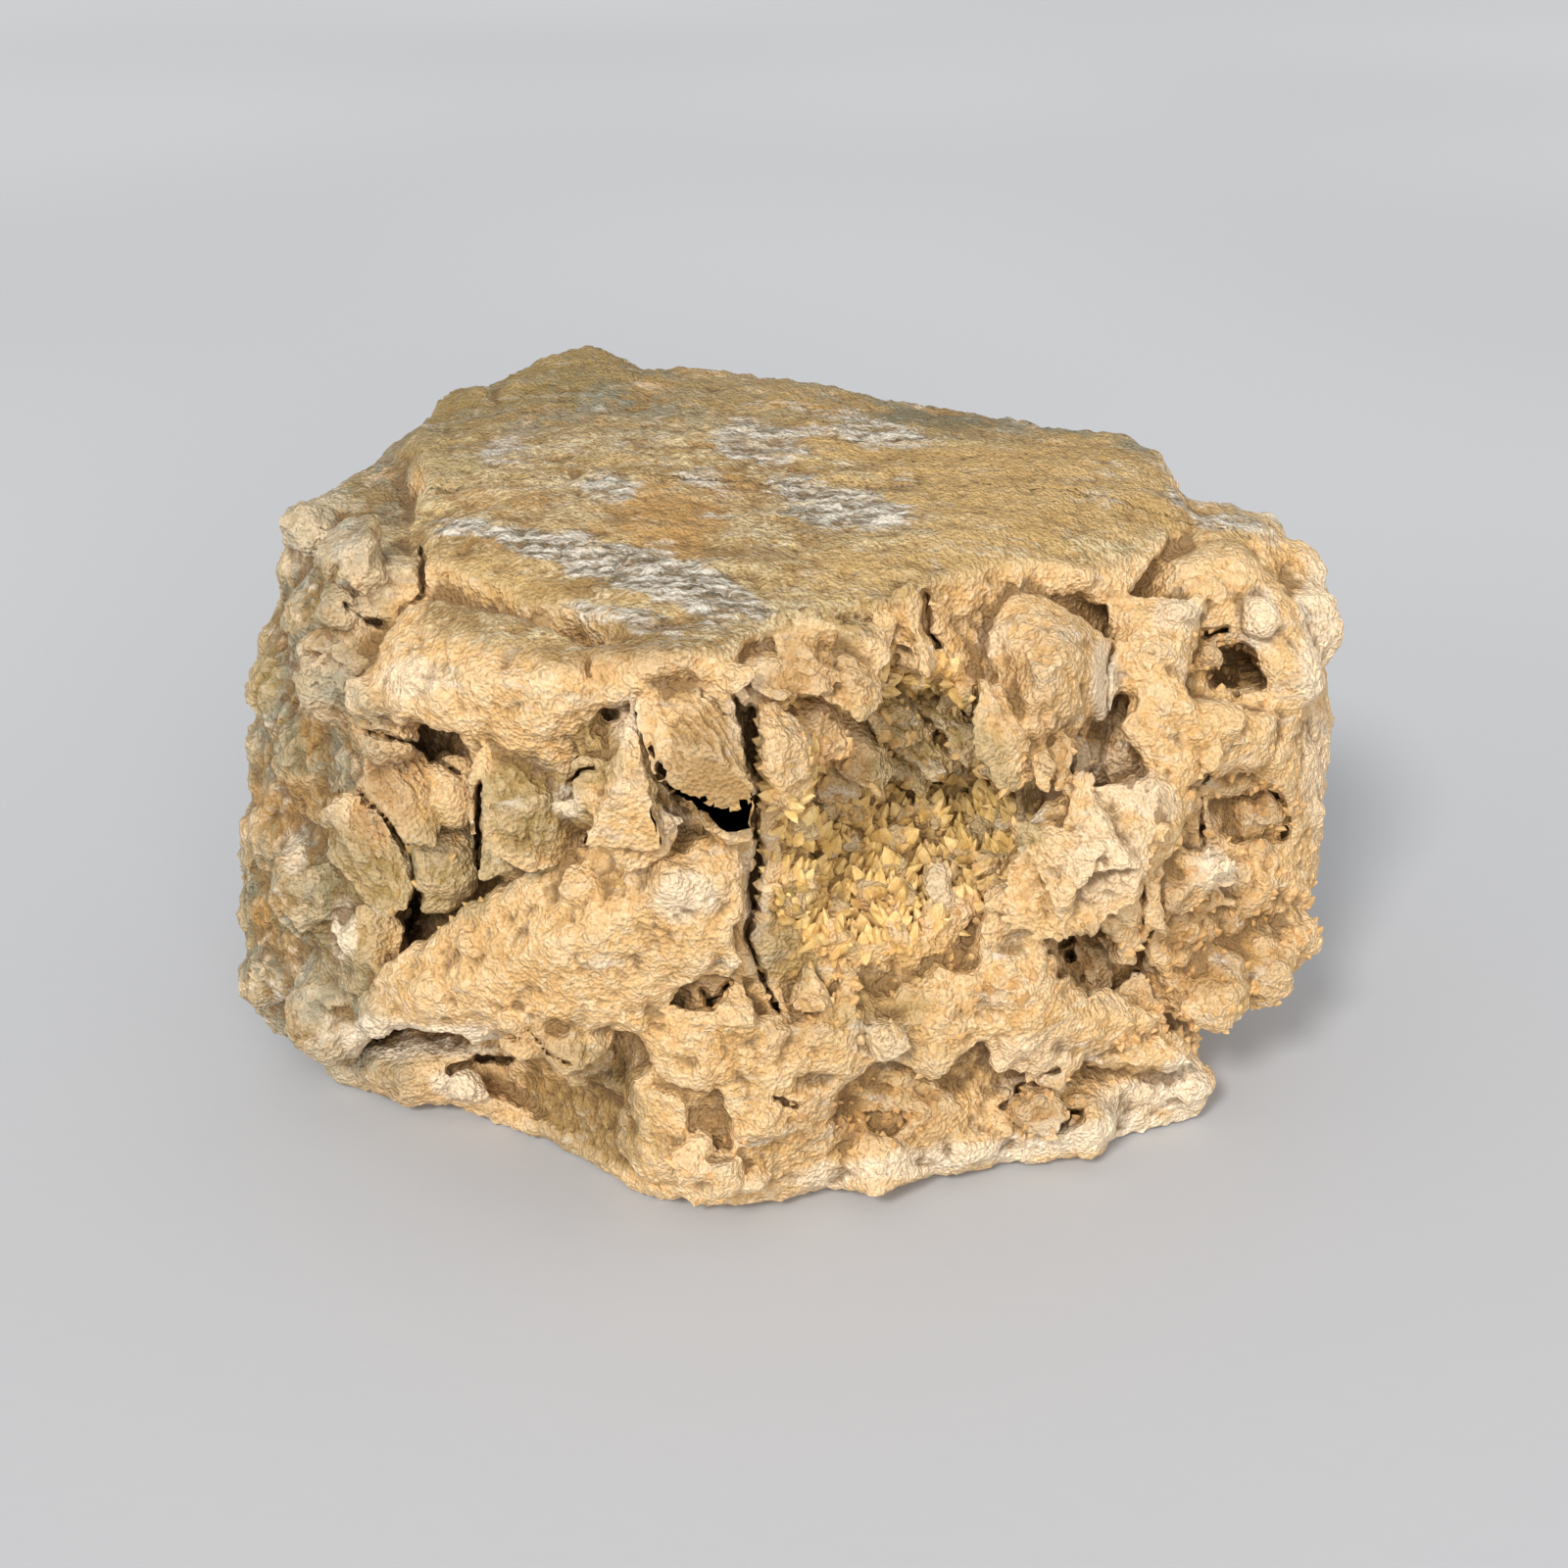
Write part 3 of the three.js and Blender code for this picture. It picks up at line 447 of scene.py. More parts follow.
COLOUR_SPOTS: dict[Look, list[Spot]] = {
    Look.SILVER: [
        Spot((668, 590), 122, 26, 17),
        Spot((560, 556), 80, 15, 10, 0.75),
        Spot((516, 462), 26, 18, 0, 0.5),
        Spot((618, 497), 36, 18, 5, 0.75),
        Spot((774, 452), 55, 28, 5, 0.6),
        Spot((876, 438), 80, 17, 14, 0.6),
        Spot((855, 516), 78, 24, 14, 0.85),
        Spot((720, 492), 30, 16, 0, 0.4),
        Spot((640, 632), 60, 14, 12, 0.55),
        Spot((1265, 522), 80, 30, 15, 0.6),
        Spot((480, 540), 50, 12, 8, 0.6),
    ],
    Look.RUST: [
        Spot((682, 530), 62, 40, 10, 0.85),
        Spot((740, 500), 40, 25, 0, 0.4),
        Spot((520, 556), 30, 8, 10, 0.7),
        Spot((500, 505), 60, 18, 5, 0.35),
        Spot((345, 655), 40, 28, 0, 0.5),
        Spot((322, 740), 16, 24, 10, 0.75),
        Spot((300, 820), 36, 30, 0, 0.8),
        Spot((272, 930), 18, 22, 0, 0.8),
        Spot((268, 800), 18, 40, 0, 0.4),
        Spot((280, 1030), 18, 24, 0, 0.4),
        Spot((560, 1098), 30, 16, 0, 0.4),
    ],
    Look.OCHRE: [
        Spot((1060, 500), 170, 62, 3, 0.8),
        Spot((860, 456), 50, 15, 5, 0.9),
        Spot((930, 575), 130, 34, -8, 0.6),
        Spot((790, 400), 130, 40, 5, 0.45),
        Spot((500, 594), 70, 24, 10, 0.5),
        Spot((430, 860), 36, 60, 0, 0.5),
        Spot((900, 975), 90, 36, -5, 0.65),
        Spot((890, 1050), 80, 30, 0, 0.4),
        Spot((520, 800), 60, 30, 0, 0.35),
        Spot((1270, 1000), 60, 40, -30, 0.5),
        Spot((390, 940), 30, 40, 0, 0.5),
    ],
    Look.PALE: [
        Spot((400, 1060), 70, 22, 8, 0.85),
        Spot((462, 1062), 44, 20, 0, 0.9),
        Spot((340, 1075), 34, 30, 0, 0.3),
        Spot((470, 1108), 30, 20, 10, 0.9),
        Spot((930, 1188), 150, 16, -8, 0.75),
        Spot((1110, 1160), 110, 16, -10, 0.95),
        Spot((1210, 1110), 30, 30, 0, 1.0),
        Spot((1180, 1115), 60, 22, -15, 0.7),
        Spot((1150, 800), 60, 30, 30, 0.55),
        Spot((1240, 888), 24, 26, 0, 0.95),
        Spot((1130, 880), 45, 60, 15, 0.45),
        Spot((1128, 700), 14, 50, 0, 0.8),
        Spot((1205, 480), 16, 40, -20, 0.4),
        Spot((1205, 627), 30, 18, 0, 0.6),
        Spot((1284, 630), 22, 30, 0, 0.75),
        Spot((1345, 640), 24, 80, 0, 0.7),
        Spot((1345, 780), 18, 80, 0, 0.5),
        Spot((772, 905), 12, 50, 0, 0.7),
        Spot((700, 915), 36, 26, 0, 0.7),
        Spot((415, 692), 40, 26, 0, 0.6),
        Spot((640, 735), 16, 30, 0, 0.6),
        Spot((578, 822), 18, 18, 0, 0.8),
        Spot((690, 838), 22, 16, 0, 0.6),
        Spot((760, 720), 14, 50, 20, 0.4),
        Spot((325, 535), 46, 50, 0, 0.4),
        Spot((372, 590), 36, 50, 0, 0.3),
        Spot((340, 700), 40, 40, 0, 0.3),
        Spot((350, 950), 14, 34, 0, 0.9),
        Spot((300, 870), 14, 26, 0, 0.6),
        Spot((320, 1010), 40, 40, 0, 0.15),
        Spot((1010, 650), 20, 20, 0, 0.5),
        Spot((900, 1062), 36, 26, 0, 0.4),
        Spot((1050, 1075), 50, 26, 0, 0.4),
        Spot((722, 1205), 40, 40, 0, 0.12),
        Spot((960, 905), 18, 30, 0, 0.5),
    ],
    Look.BROWN: [
        Spot((1275, 828), 56, 44, 0, 0.95),
        Spot((1245, 670), 34, 30, 0, 0.8),
        Spot((1230, 940), 60, 60, 0, 0.55),
        Spot((1290, 980), 60, 60, 0, 0.45),
        Spot((1190, 1005), 60, 20, 0, 0.6),
        Spot((1065, 1135), 56, 34, 0, 0.75),
        Spot((905, 1140), 70, 34, 0, 0.6),
        Spot((1112, 975), 36, 40, 0, 0.95),
        Spot((835, 690), 60, 50, 0, 0.6),
        Spot((840, 770), 50, 50, 0, 0.4),
        Spot((1050, 720), 60, 50, 20, 0.4),
        Spot((1090, 775), 40, 26, 0, 0.75),
        Spot((400, 800), 36, 62, 15, 0.75),
        Spot((722, 780), 56, 70, 30, 0.7),
        Spot((545, 1060), 50, 20, 0, 0.6),
        Spot((430, 1120), 120, 20, 0, 0.4),
        Spot((600, 1130), 60, 70, 0, 0.45),
        Spot((810, 1040), 40, 40, 0, 0.4),
        Spot((840, 1130), 40, 50, 0, 0.35),
        Spot((690, 690), 40, 30, 0, 0.35),
        Spot((620, 660), 60, 30, 0, 0.3),
        Spot((1100, 650), 60, 26, 0, 0.35),
    ],
    Look.OLIVE: [
        Spot((600, 1130), 66, 80, 0, 1.0),
        Spot((450, 890), 66, 56, 0, 1.0),
        Spot((545, 830), 62, 60, 0, 1.0),
        Spot((610, 770), 30, 40, 0, 0.8),
        Spot((355, 940), 50, 90, 0, 0.6),
        Spot((722, 785), 60, 75, 30, 0.6),
        Spot((960, 760), 90, 60, 20, 0.95),
        Spot((900, 850), 130, 80, 0, 0.75),
        Spot((1020, 830), 60, 40, 0, 0.9),
        Spot((800, 960), 36, 60, 0, 0.85),
        Spot((900, 1030), 60, 30, 0, 0.55),
        Spot((1112, 975), 30, 36, 0, 0.5),
        Spot((262, 690), 22, 50, 0, 0.9),
        Spot((560, 380), 120, 36, -10, 0.8),
        Spot((450, 450), 60, 50, 0, 0.6),
        Spot((335, 500), 50, 30, -30, 0.6),
        Spot((390, 590), 20, 60, 0, 0.6),
        Spot((620, 640), 70, 12, 10, 0.5),
        Spot((930, 1090), 60, 40, 0, 0.3),
    ],
}

DRUSE_SPOTS = [
    Spot((900, 850), 150, 130),
    Spot((920, 1010), 170, 60),
    Spot((1275, 828), 60, 48),
    Spot((1245, 950), 110, 100),
    Spot((1065, 1135), 60, 36),
    Spot((900, 1130), 80, 40),
    Spot((1190, 1050), 70, 30),
    Spot((440, 900), 60, 50, 0, 0.7),
    Spot((730, 1200), 50, 50, 0, 0.5),
    Spot((540, 1060), 50, 24, 0, 0.8),
    Spot((1080, 780), 50, 30, 0, 0.8),
    Spot((1250, 670), 50, 36, 0, 0.8),
]

SMOOTH_SPOTS = [
    Spot((1284, 630), 24, 32),
    Spot((1202, 627), 26, 16),
    Spot((461, 806), 32, 42),
    Spot((1130, 700), 16, 50, 0, 0.8),
    Spot((880, 745), 20, 24),
    Spot((430, 870), 40, 60, 0, 0.6),
]


@dataclass(frozen=True)
class Ribs:
    """Fine ridges of growth on a blade, side by side along one direction of the picture."""

    spot: Spot
    direction: float
    spacing: float = 1.1
    height: float = 0.5

    def heights(self, seen: Sight, behind: Array, ragged: Array) -> Array:
        """Height of the ridges.

        The way across the ridges, bent by the ragged values, is folded into a zigzag that is steeper on one
        side, and multiplied by the spot's mask.

        Args:
            seen: The points in the picture.
            behind: Their distances behind the shown surface.
            ragged: One shift a point.

        Returns:
            Heights in millimetres.
        """
        angle = math.radians(self.direction)
        across = (seen.row * math.cos(angle) - seen.column * math.sin(angle)) * MM_A_PIXEL
        phase = (across + 2.2 * ragged) / self.spacing
        part = phase - np.floor(phase)
        zigzag = np.minimum(part / 0.75, (1.0 - part) / 0.25)
        return self.spot.mask(seen, behind, 0.3 * ragged) * self.height * (zigzag - 0.5)


BLADE_RIBS = [
    Ribs(Spot((722, 780), 62, 78, 30), 58),
    Ribs(Spot((403, 800), 36, 64, 20), 62, 1.0, 0.24),
    Ribs(Spot((366, 868), 36, 56, 30), 64, 1.0, 0.22),
    Ribs(Spot((545, 832), 52, 46), 100, 1.5, 0.26),
    Ribs(Spot((434, 890), 50, 44), 75, 1.6, 0.26),
    Ribs(Spot((612, 765), 24, 40), 95, 1.2, 0.3),
    Ribs(Spot((1112, 972), 36, 44), 60, 1.2, 0.4),
    Ribs(Spot((940, 750), 60, 40, 40), 40, 1.3, 0.4),
    Ribs(Spot((845, 700), 60, 44), 20, 1.5, 0.35),
    Ribs(Spot((1050, 690), 70, 80, 20), 70, 2.0, 0.3),
    Ribs(Spot((1095, 778), 40, 24), 95, 1.6, 0.5),
    Ribs(Spot((600, 1120), 50, 60), 80, 1.6, 0.3),
    Ribs(Spot((1190, 1020), 50, 30), 20, 1.4, 0.35),
]


@dataclass(frozen=True)
class Crack:
    """A dark gap in the surface along a line of the picture."""

    line: tuple[Pixel, ...]
    half_width: float
    depth: float

    def distance(self, seen: Sight, behind: Array) -> Array:
        """Distance to the gap, negative inside.

        The gap holds the points closer than its half width to the line in the picture, narrower towards its
        bottom, and less than its depth behind the shown surface.

        Args:
            seen: The points in the picture.
            behind: Their distances behind the shown surface.

        Returns:
            Distances in millimetres.
        """
        nearest = np.full(len(behind), np.inf)
        for (c0, r0), (c1, r1) in zip(self.line, self.line[1:]):
            length = (c1 - c0) ** 2 + (r1 - r0) ** 2
            share = ((seen.column - c0) * (c1 - c0) + (seen.row - r0) * (r1 - r0)) / length
            share = np.clip(share, 0.0, 1.0)
            away = np.hypot(seen.column - c0 - share * (c1 - c0), seen.row - r0 - share * (r1 - r0))
            nearest = np.minimum(nearest, away)
        width = self.half_width * (1.0 - 0.5 * np.clip(behind / self.depth, 0.0, 1.0))
        return np.maximum(nearest * MM_A_PIXEL - width, behind - self.depth)


CRACKS = [
    Crack(((750, 712), (762, 750), (775, 790), (768, 840), (778, 880), (768, 925)), 0.6, 10.0),
    Crack(((768, 925), (762, 955), (775, 990), (793, 1032)), 0.5, 8.0),
    Crack(((766, 725), (770, 790)), 0.9, 10.0),
    Crack(((772, 870), (768, 930)), 0.8, 10.0),
    Crack(((716, 1008), (726, 1027), (744, 1003)), 0.6, 9.0),
    Crack(((489, 798), (486, 888)), 0.4, 9.0),
    Crack(((367, 809), (393, 834), (418, 872), (424, 916)), 0.25, 4.0),
    Crack(((426, 916), (418, 944)), 0.75, 9.0),
    Crack(((488, 1079), (522, 1081)), 0.6, 9.0),
    Crack(((664, 760), (680, 800), (704, 830)), 0.25, 3.0),
    Crack(((581, 797), (593, 785), (608, 785)), 0.4, 6.0),
    Crack(((352, 618), (371, 632), (395, 638), (432, 606), (430, 560)), 0.35, 4.0),
    Crack(((945, 606), (947, 644), (957, 660)), 0.55, 9.0),
    Crack(((903, 687), (914, 670)), 0.5, 9.0),
    Crack(((1099, 750), (1114, 738)), 0.5, 9.0),
    Crack(((1228, 648), (1252, 643)), 0.5, 7.0),
    Crack(((1252, 696), (1264, 712)), 0.4, 5.0),
    Crack(((1216, 806), (1233, 792)), 0.5, 7.0),
    Crack(((1224, 812), (1228, 862)), 0.35, 5.0),
    Crack(((980, 792), (987, 808)), 0.45, 6.0),
    Crack(((1070, 972), (1094, 958)), 0.4, 6.0),
    Crack(((1083, 994), (1092, 974)), 0.55, 7.0),
    Crack(((1103, 998), (1111, 1018)), 0.4, 6.0),
    Crack(((1168, 905), (1160, 992)), 0.3, 3.5),
    Crack(((1022, 1130), (1048, 1101), (1080, 1092)), 0.3, 3.0),
    Crack(((790, 1120), (812, 1128)), 0.5, 3.0),
    Crack(((366, 744), (420, 758), (470, 790)), 0.3, 3.0),
    Crack(((540, 1050), (560, 1075), (580, 1085)), 0.25, 3.0),
    Crack(((1140, 640), (1128, 690), (1132, 740)), 0.3, 3.0),
    Crack(((600, 540), (700, 575), (786, 603)), 0.18, 0.9),
    Crack(((480, 590), (560, 615), (640, 628)), 0.15, 0.8),
    Crack(((425, 435), (470, 470), (560, 480)), 0.2, 1.0),
]


@dataclass(frozen=True)
class Crystal:
    """A solid with flat faces: the points that lie within reach of its centre along every face's normal."""

    centre: Array
    normals: Array
    reach: Array
    radius: float

    def distance(self, points: Array) -> Array:
        """The largest of the distances to the faces' planes, negative inside."""
        return ((points - self.centre) @ self.normals.T - self.reach).max(axis=1)


def bipyramid(
    centre: Array, axes: Array, halves: tuple[float, float, float], sides: int, seed: int
) -> Crystal:
    """A crystal pointed at both ends of its third axis, with its faces around the other two.

    The face in direction a of the rim leans so that it passes through the rim there and through the tip:
    its normal is (cos a / first half, sin a / second half, 1 / third half).

    Args:
        centre: Its middle.
        axes: Three unit rows, the last one through the tips.
        halves: Half its size along each axis.
        sides: Faces around.
        seed: Shifts the faces a little.

    Returns:
        The crystal.
    """
    rng = np.random.default_rng(seed)
    angle = (np.arange(sides) + 0.3 * rng.random(sides)) * 2.0 * math.pi / sides
    around = np.stack([np.cos(angle) / halves[0], np.sin(angle) / halves[1]], axis=-1)
    both = np.concatenate([np.c_[around, np.full(sides, s / halves[2])] for s in (-1.0, 1.0)])
    size = lengths(both)
    reach = (0.92 + 0.16 * rng.random(len(both))) / size
    return Crystal(centre, (both / size[:, None]) @ axes, reach, max(halves))


def lump(centre: Array, axes: Array, halves: tuple[float, float, float], faces: int, seed: int) -> Crystal:
    """A broken lump: planes with random normals, each at 0.74 to 1 of an ellipsoid's reach along them."""
    rng = np.random.default_rng(seed)
    normals = rng.normal(size=(faces, 3))
    normals /= lengths(normals)[:, None]
    reach = lengths(normals * np.array(halves)) * (0.74 + 0.26 * rng.random(faces))
    return Crystal(centre, normals @ axes, reach, max(halves) * 1.2)


class Form(Enum):
    """Kinds of crystals and lumps that stand out of the surface."""

    LENS = "lens"
    POINT = "point"
    LUMP = "lump"


@dataclass(frozen=True)
class Grown:
    """A crystal or lump on the surface, placed by the pixels of its two ends.

    The width is measured across the picture and the thickness towards the eye, in millimetres. Its middle
    stands the given distance in front of the surface, and its second end comes nearer by the lean.
    """

    form: Form
    start: Pixel
    end: Pixel
    width: float
    thickness: float
    forward: float = 0.0
    lean: float = 0.0
    roll: float = 0.0
    faces: int = 6

    def crystal(self, shell: Shell, seed: int) -> Crystal:
        """Works out its axes and faces.

        Args:
            shell: The shown surface.
            seed: Chooses its irregular faces.

        Returns:
            The crystal in place.
        """
        middle = ((self.start[0] + self.end[0]) / 2, (self.start[1] + self.end[1]) / 2)
        centre = shell.at(middle, self.forward)
        step = RIGHT * (self.end[0] - self.start[0]) - UP * (self.end[1] - self.start[1])
        long_way = step * MM_A_PIXEL + NEARER * self.lean
        half_length = float(np.linalg.norm(long_way)) / 2
        long_axis = long_way / (2 * half_length)
        face = NEARER - long_axis * float(NEARER @ long_axis)
        face /= np.linalg.norm(face)
        side = np.cross(long_axis, face)
        turn = math.radians(self.roll)
        turned_side = side * math.cos(turn) + face * math.sin(turn)
        face = face * math.cos(turn) - side * math.sin(turn)
        side = turned_side
        if self.form is Form.LENS:
            halves = (half_length, self.width / 2, self.thickness / 2)
            return bipyramid(centre, np.stack([long_axis, side, face]), halves, self.faces, seed)
        if self.form is Form.POINT:
            root = centre - long_axis * half_length
            halves = (self.width / 2, self.thickness / 2, 2 * half_length)
            whole = bipyramid(root, np.stack([side, face, long_axis]), halves, self.faces, seed)
            normals = np.concatenate([whole.normals, -long_axis[None]])
            return Crystal(root, normals, np.append(whole.reach, 0.5), whole.radius)
        halves = (half_length, self.width / 2, self.thickness / 2)
        return lump(centre, np.stack([long_axis, side, face]), halves, 4 * self.faces, seed)


FRONT_CRYSTALS = [
    Grown(Form.LENS, (384, 742), (438, 858), 7.4, 5.0, 0.8, 1.5, 15),
    Grown(Form.LUMP, (452, 768), (468, 848), 7.6, 7.0, 2.4, 0.0, 0, 9),
    Grown(Form.LUMP, (464, 830), (440, 940), 9.0, 8.0, 3.0, 0.0, 0, 8),
    Grown(Form.LUMP, (500, 800), (530, 890), 7.0, 7.0, 1.6, 0.0, 0, 7),
    Grown(Form.LUMP, (560, 850), (620, 860), 6.0, 6.0, 1.4, 0.0, 0, 7),
    Grown(Form.LUMP, (590, 780), (632, 830), 6.0, 6.0, 1.4, 0.0, 0, 7),
    Grown(Form.LUMP, (352, 930), (400, 1000), 7.0, 6.0, 1.0, 0.0, 0, 7),
    Grown(Form.LUMP, (380, 740), (420, 770), 7.0, 6.0, 1.4, 0.0, 0, 7),
    Grown(Form.LENS, (336, 812), (408, 925), 7.6, 5.0, 0.6, 1.0, -15),
    Grown(Form.LENS, (506, 760), (572, 876), 12.0, 8.0, 2.6, -3.0, 20, 7),
    Grown(Form.LENS, (668, 712), (775, 846), 9.6, 5.0, 1.2, 2.0, 10, 6),
    Grown(Form.LUMP, (716, 833), (772, 841), 5.0, 7.0, 3.6, 0.0, 0, 6),
    Grown(Form.POINT, (640, 850), (646, 708), 7.6, 7.0, 0.8, -1.0, 0, 5),
    Grown(Form.POINT, (640, 835), (566, 822), 4.4, 5.0, 1.0, 1.0, 0, 5),
    Grown(Form.POINT, (650, 835), (702, 838), 4.4, 5.0, 1.0, 1.0, 0, 5),
    Grown(Form.LENS, (598, 740), (616, 800), 3.6, 5.0, -1.0, 0.0, 30),
    Grown(Form.LENS, (728, 694), (768, 686), 2.6, 3.0, 0.6, 1.0, 20),
    Grown(Form.LENS, (738, 704), (764, 712), 2.0, 2.4, 0.8, 1.0, 0),
    Grown(Form.POINT, (925, 610), (946, 694), 4.6, 4.4, 1.2, 2.0, 20, 4),
    Grown(Form.POINT, (898, 620), (906, 686), 3.6, 4.0, 1.0, 1.0, 10, 4),
    Grown(Form.LENS, (766, 668), (818, 706), 7.0, 3.4, 2.0, 1.0, 40),
    Grown(Form.LENS, (780, 642), (850, 652), 6.0, 3.4, 1.6, 1.0, -25),
    Grown(Form.LENS, (796, 694), (850, 764), 8.0, 4.4, 3.0, -1.0, 35),
    Grown(Form.LENS, (772, 724), (816, 792), 7.4, 4.4, 2.6, -1.0, 30),
    Grown(Form.LENS, (838, 668), (894, 722), 7.4, 4.0, 3.0, -1.0, 38),
    Grown(Form.LENS, (858, 640), (904, 680), 5.6, 3.4, 2.0, 0.0, 20),
    Grown(Form.LENS, (846, 736), (908, 796), 7.4, 4.4, 3.0, -1.0, 30),
    Grown(Form.LENS, (884, 704), (936, 756), 6.6, 4.4, 2.0, -1.0, 40),
    Grown(Form.LENS, (820, 772), (880, 806), 6.6, 4.4, 2.6, 0.0, 10),
    Grown(Form.LENS, (900, 752), (950, 806), 4.6, 4.4, 2.0, 0.0, 40, 5),
    Grown(Form.LENS, (955, 716), (1008, 790), 4.6, 4.4, 2.0, 0.0, 40, 5),
    Grown(Form.LENS, (800, 650), (850, 700), 6.0, 4.0, 1.0, 0.0, 30),
    Grown(Form.LENS, (812, 685), (858, 772), 4.6, 4.0, 0.8, 1.0, 30, 5),
    Grown(Form.LENS, (842, 640), (890, 668), 4.0, 3.0, 1.0, 0.0, -20),
    Grown(Form.LUMP, (874, 726), (884, 764), 3.8, 4.0, 0.8),
    Grown(Form.LENS, (896, 722), (968, 792), 4.6, 5.0, 1.0, 0.0, 40, 5),
    Grown(Form.LENS, (930, 700), (1000, 760), 3.8, 5.0, 0.4, 0.0, 30, 5),
    Grown(Form.LENS, (1010, 700), (1044, 800), 8.0, 6.0, 0.6, -2.0, 30, 6),
    Grown(Form.LENS, (1060, 756), (1066, 806), 2.4, 4.0, 1.2, 0.0, 30, 5),
    Grown(Form.LENS, (1082, 752), (1086, 806), 2.4, 4.0, 1.2, 0.0, 40, 5),
    Grown(Form.LENS, (1104, 752), (1102, 800), 2.4, 4.0, 1.2, 0.0, 30, 5),
    Grown(Form.LUMP, (1284, 604), (1286, 656), 4.2, 4.4, 0.8, 0.0, 0, 10),
    Grown(Form.LUMP, (1182, 628), (1222, 622), 2.8, 3.0, 0.4, 0.0, 0, 8),
    Grown(Form.LUMP, (1222, 690), (1240, 656), 4.0, 4.0, 0.4, 0.0, 0, 7),
    Grown(Form.POINT, (1232, 770), (1236, 798), 2.8, 2.6, 1.0, 1.0, 0, 4),
    Grown(Form.POINT, (1196, 905), (1258, 878), 5.4, 4.0, 1.4, 2.0, 10, 4),
    Grown(Form.POINT, (1230, 915), (1262, 922), 3.4, 3.0, 1.0, 1.0, 0, 4),
    Grown(Form.LENS, (1096, 940), (1124, 1012), 5.6, 5.0, 0.4, 0.0, 30, 5),
    Grown(Form.LENS, (1040, 945), (1172, 820), 13.0, 5.0, 0.9, 0.0, 0, 7),
    Grown(Form.POINT, (1100, 900), (1004, 922), 8.4, 4.4, 1.0, 0.0, 0, 4),
    Grown(Form.POINT, (1100, 890), (1030, 836), 7.4, 4.4, 1.0, 0.0, 20, 4),
    Grown(Form.POINT, (1120, 880), (1104, 782), 9.0, 4.4, 1.0, 0.0, 0, 4),
    Grown(Form.POINT, (1130, 880), (1186, 800), 9.0, 4.4, 1.1, 0.0, -20, 4),
    Grown(Form.POINT, (1130, 895), (1204, 962), 8.0, 4.4, 1.0, 0.0, 0, 4),
    Grown(Form.POINT, (1115, 905), (1086, 966), 6.4, 4.0, 0.6, 0.0, 0, 4),
    Grown(Form.LUMP, (1240, 826), (1320, 834), 7.0, 6.0, 0.6, 0.0, 0, 8),
    Grown(Form.LUMP, (870, 1140), (930, 1146), 6.0, 6.0, 1.2, 0.0, 0, 8),
    Grown(Form.LUMP, (1030, 1136), (1090, 1132), 6.0, 6.0, 1.2, 0.0, 0, 8),
    Grown(Form.POINT, (1150, 1010), (1196, 1046), 4.4, 4.0, 1.0, 1.5, 0, 4),
    Grown(Form.POINT, (1120, 1060), (1224, 1084), 6.0, 6.0, 0.6, 0.0, 0, 5),
    Grown(Form.POINT, (826, 1020), (826, 980), 4.4, 4.0, 1.0, 0.0, 0, 5),
    Grown(Form.POINT, (862, 1025), (872, 988), 3.4, 3.4, 0.8, 0.0, 0, 5),
    Grown(Form.POINT, (750, 1040), (752, 984), 5.0, 5.0, 0.8, -1.0, 0, 5),
    Grown(Form.LUMP, (560, 1050), (606, 1086), 7.6, 7.0, 0.4, 0.0, 0, 6),
    Grown(Form.LENS, (508, 1036), (536, 1050), 3.0, 3.0, 0.8, 0.0, 0, 5),
    Grown(Form.LENS, (506, 1062), (546, 1076), 2.6, 3.0, 0.8, 0.0, 30, 5),
    Grown(Form.LUMP, (458, 1100), (496, 1118), 3.6, 4.0, 0.8, 0.0, 0, 6),
    Grown(Form.LUMP, (700, 1210), (712, 1152), 5.6, 5.0, 0.8, 0.0, 0, 7),
    Grown(Form.LUMP, (740, 1222), (742, 1172), 5.0, 4.6, 0.8, 0.0, 20, 7),
    Grown(Form.LUMP, (774, 1218), (764, 1190), 4.0, 4.0, 0.6, 0.0, 0, 7),
    Grown(Form.LUMP, (604, 838), (694, 846), 6.4, 5.0, 1.6, 0.0, 0, 7),
    Grown(Form.LUMP, (884, 1050), (920, 1070), 5.0, 5.0, 0.6, 0.0, 0, 6),
    Grown(Form.LENS, (955, 880), (966, 930), 3.0, 3.4, 1.0, 0.0, 20, 6),
    Grown(Form.POINT, (1104, 815), (1116, 800), 3.4, 3.0, 1.2, 1.0, 0, 4),
    Grown(Form.LUMP, (296, 520), (340, 560), 7.0, 7.0, 0.4, 0.0, 0, 6),
    Grown(Form.LUMP, (352, 560), (392, 600), 6.0, 6.0, 0.4, 0.0, 0, 6),
    Grown(Form.LUMP, (330, 600), (360, 640), 5.0, 5.0, 0.4, 0.0, 0, 6),
    Grown(Form.LENS, (346, 926), (356, 974), 2.6, 3.0, 0.8, 0.0, 30, 5),
]


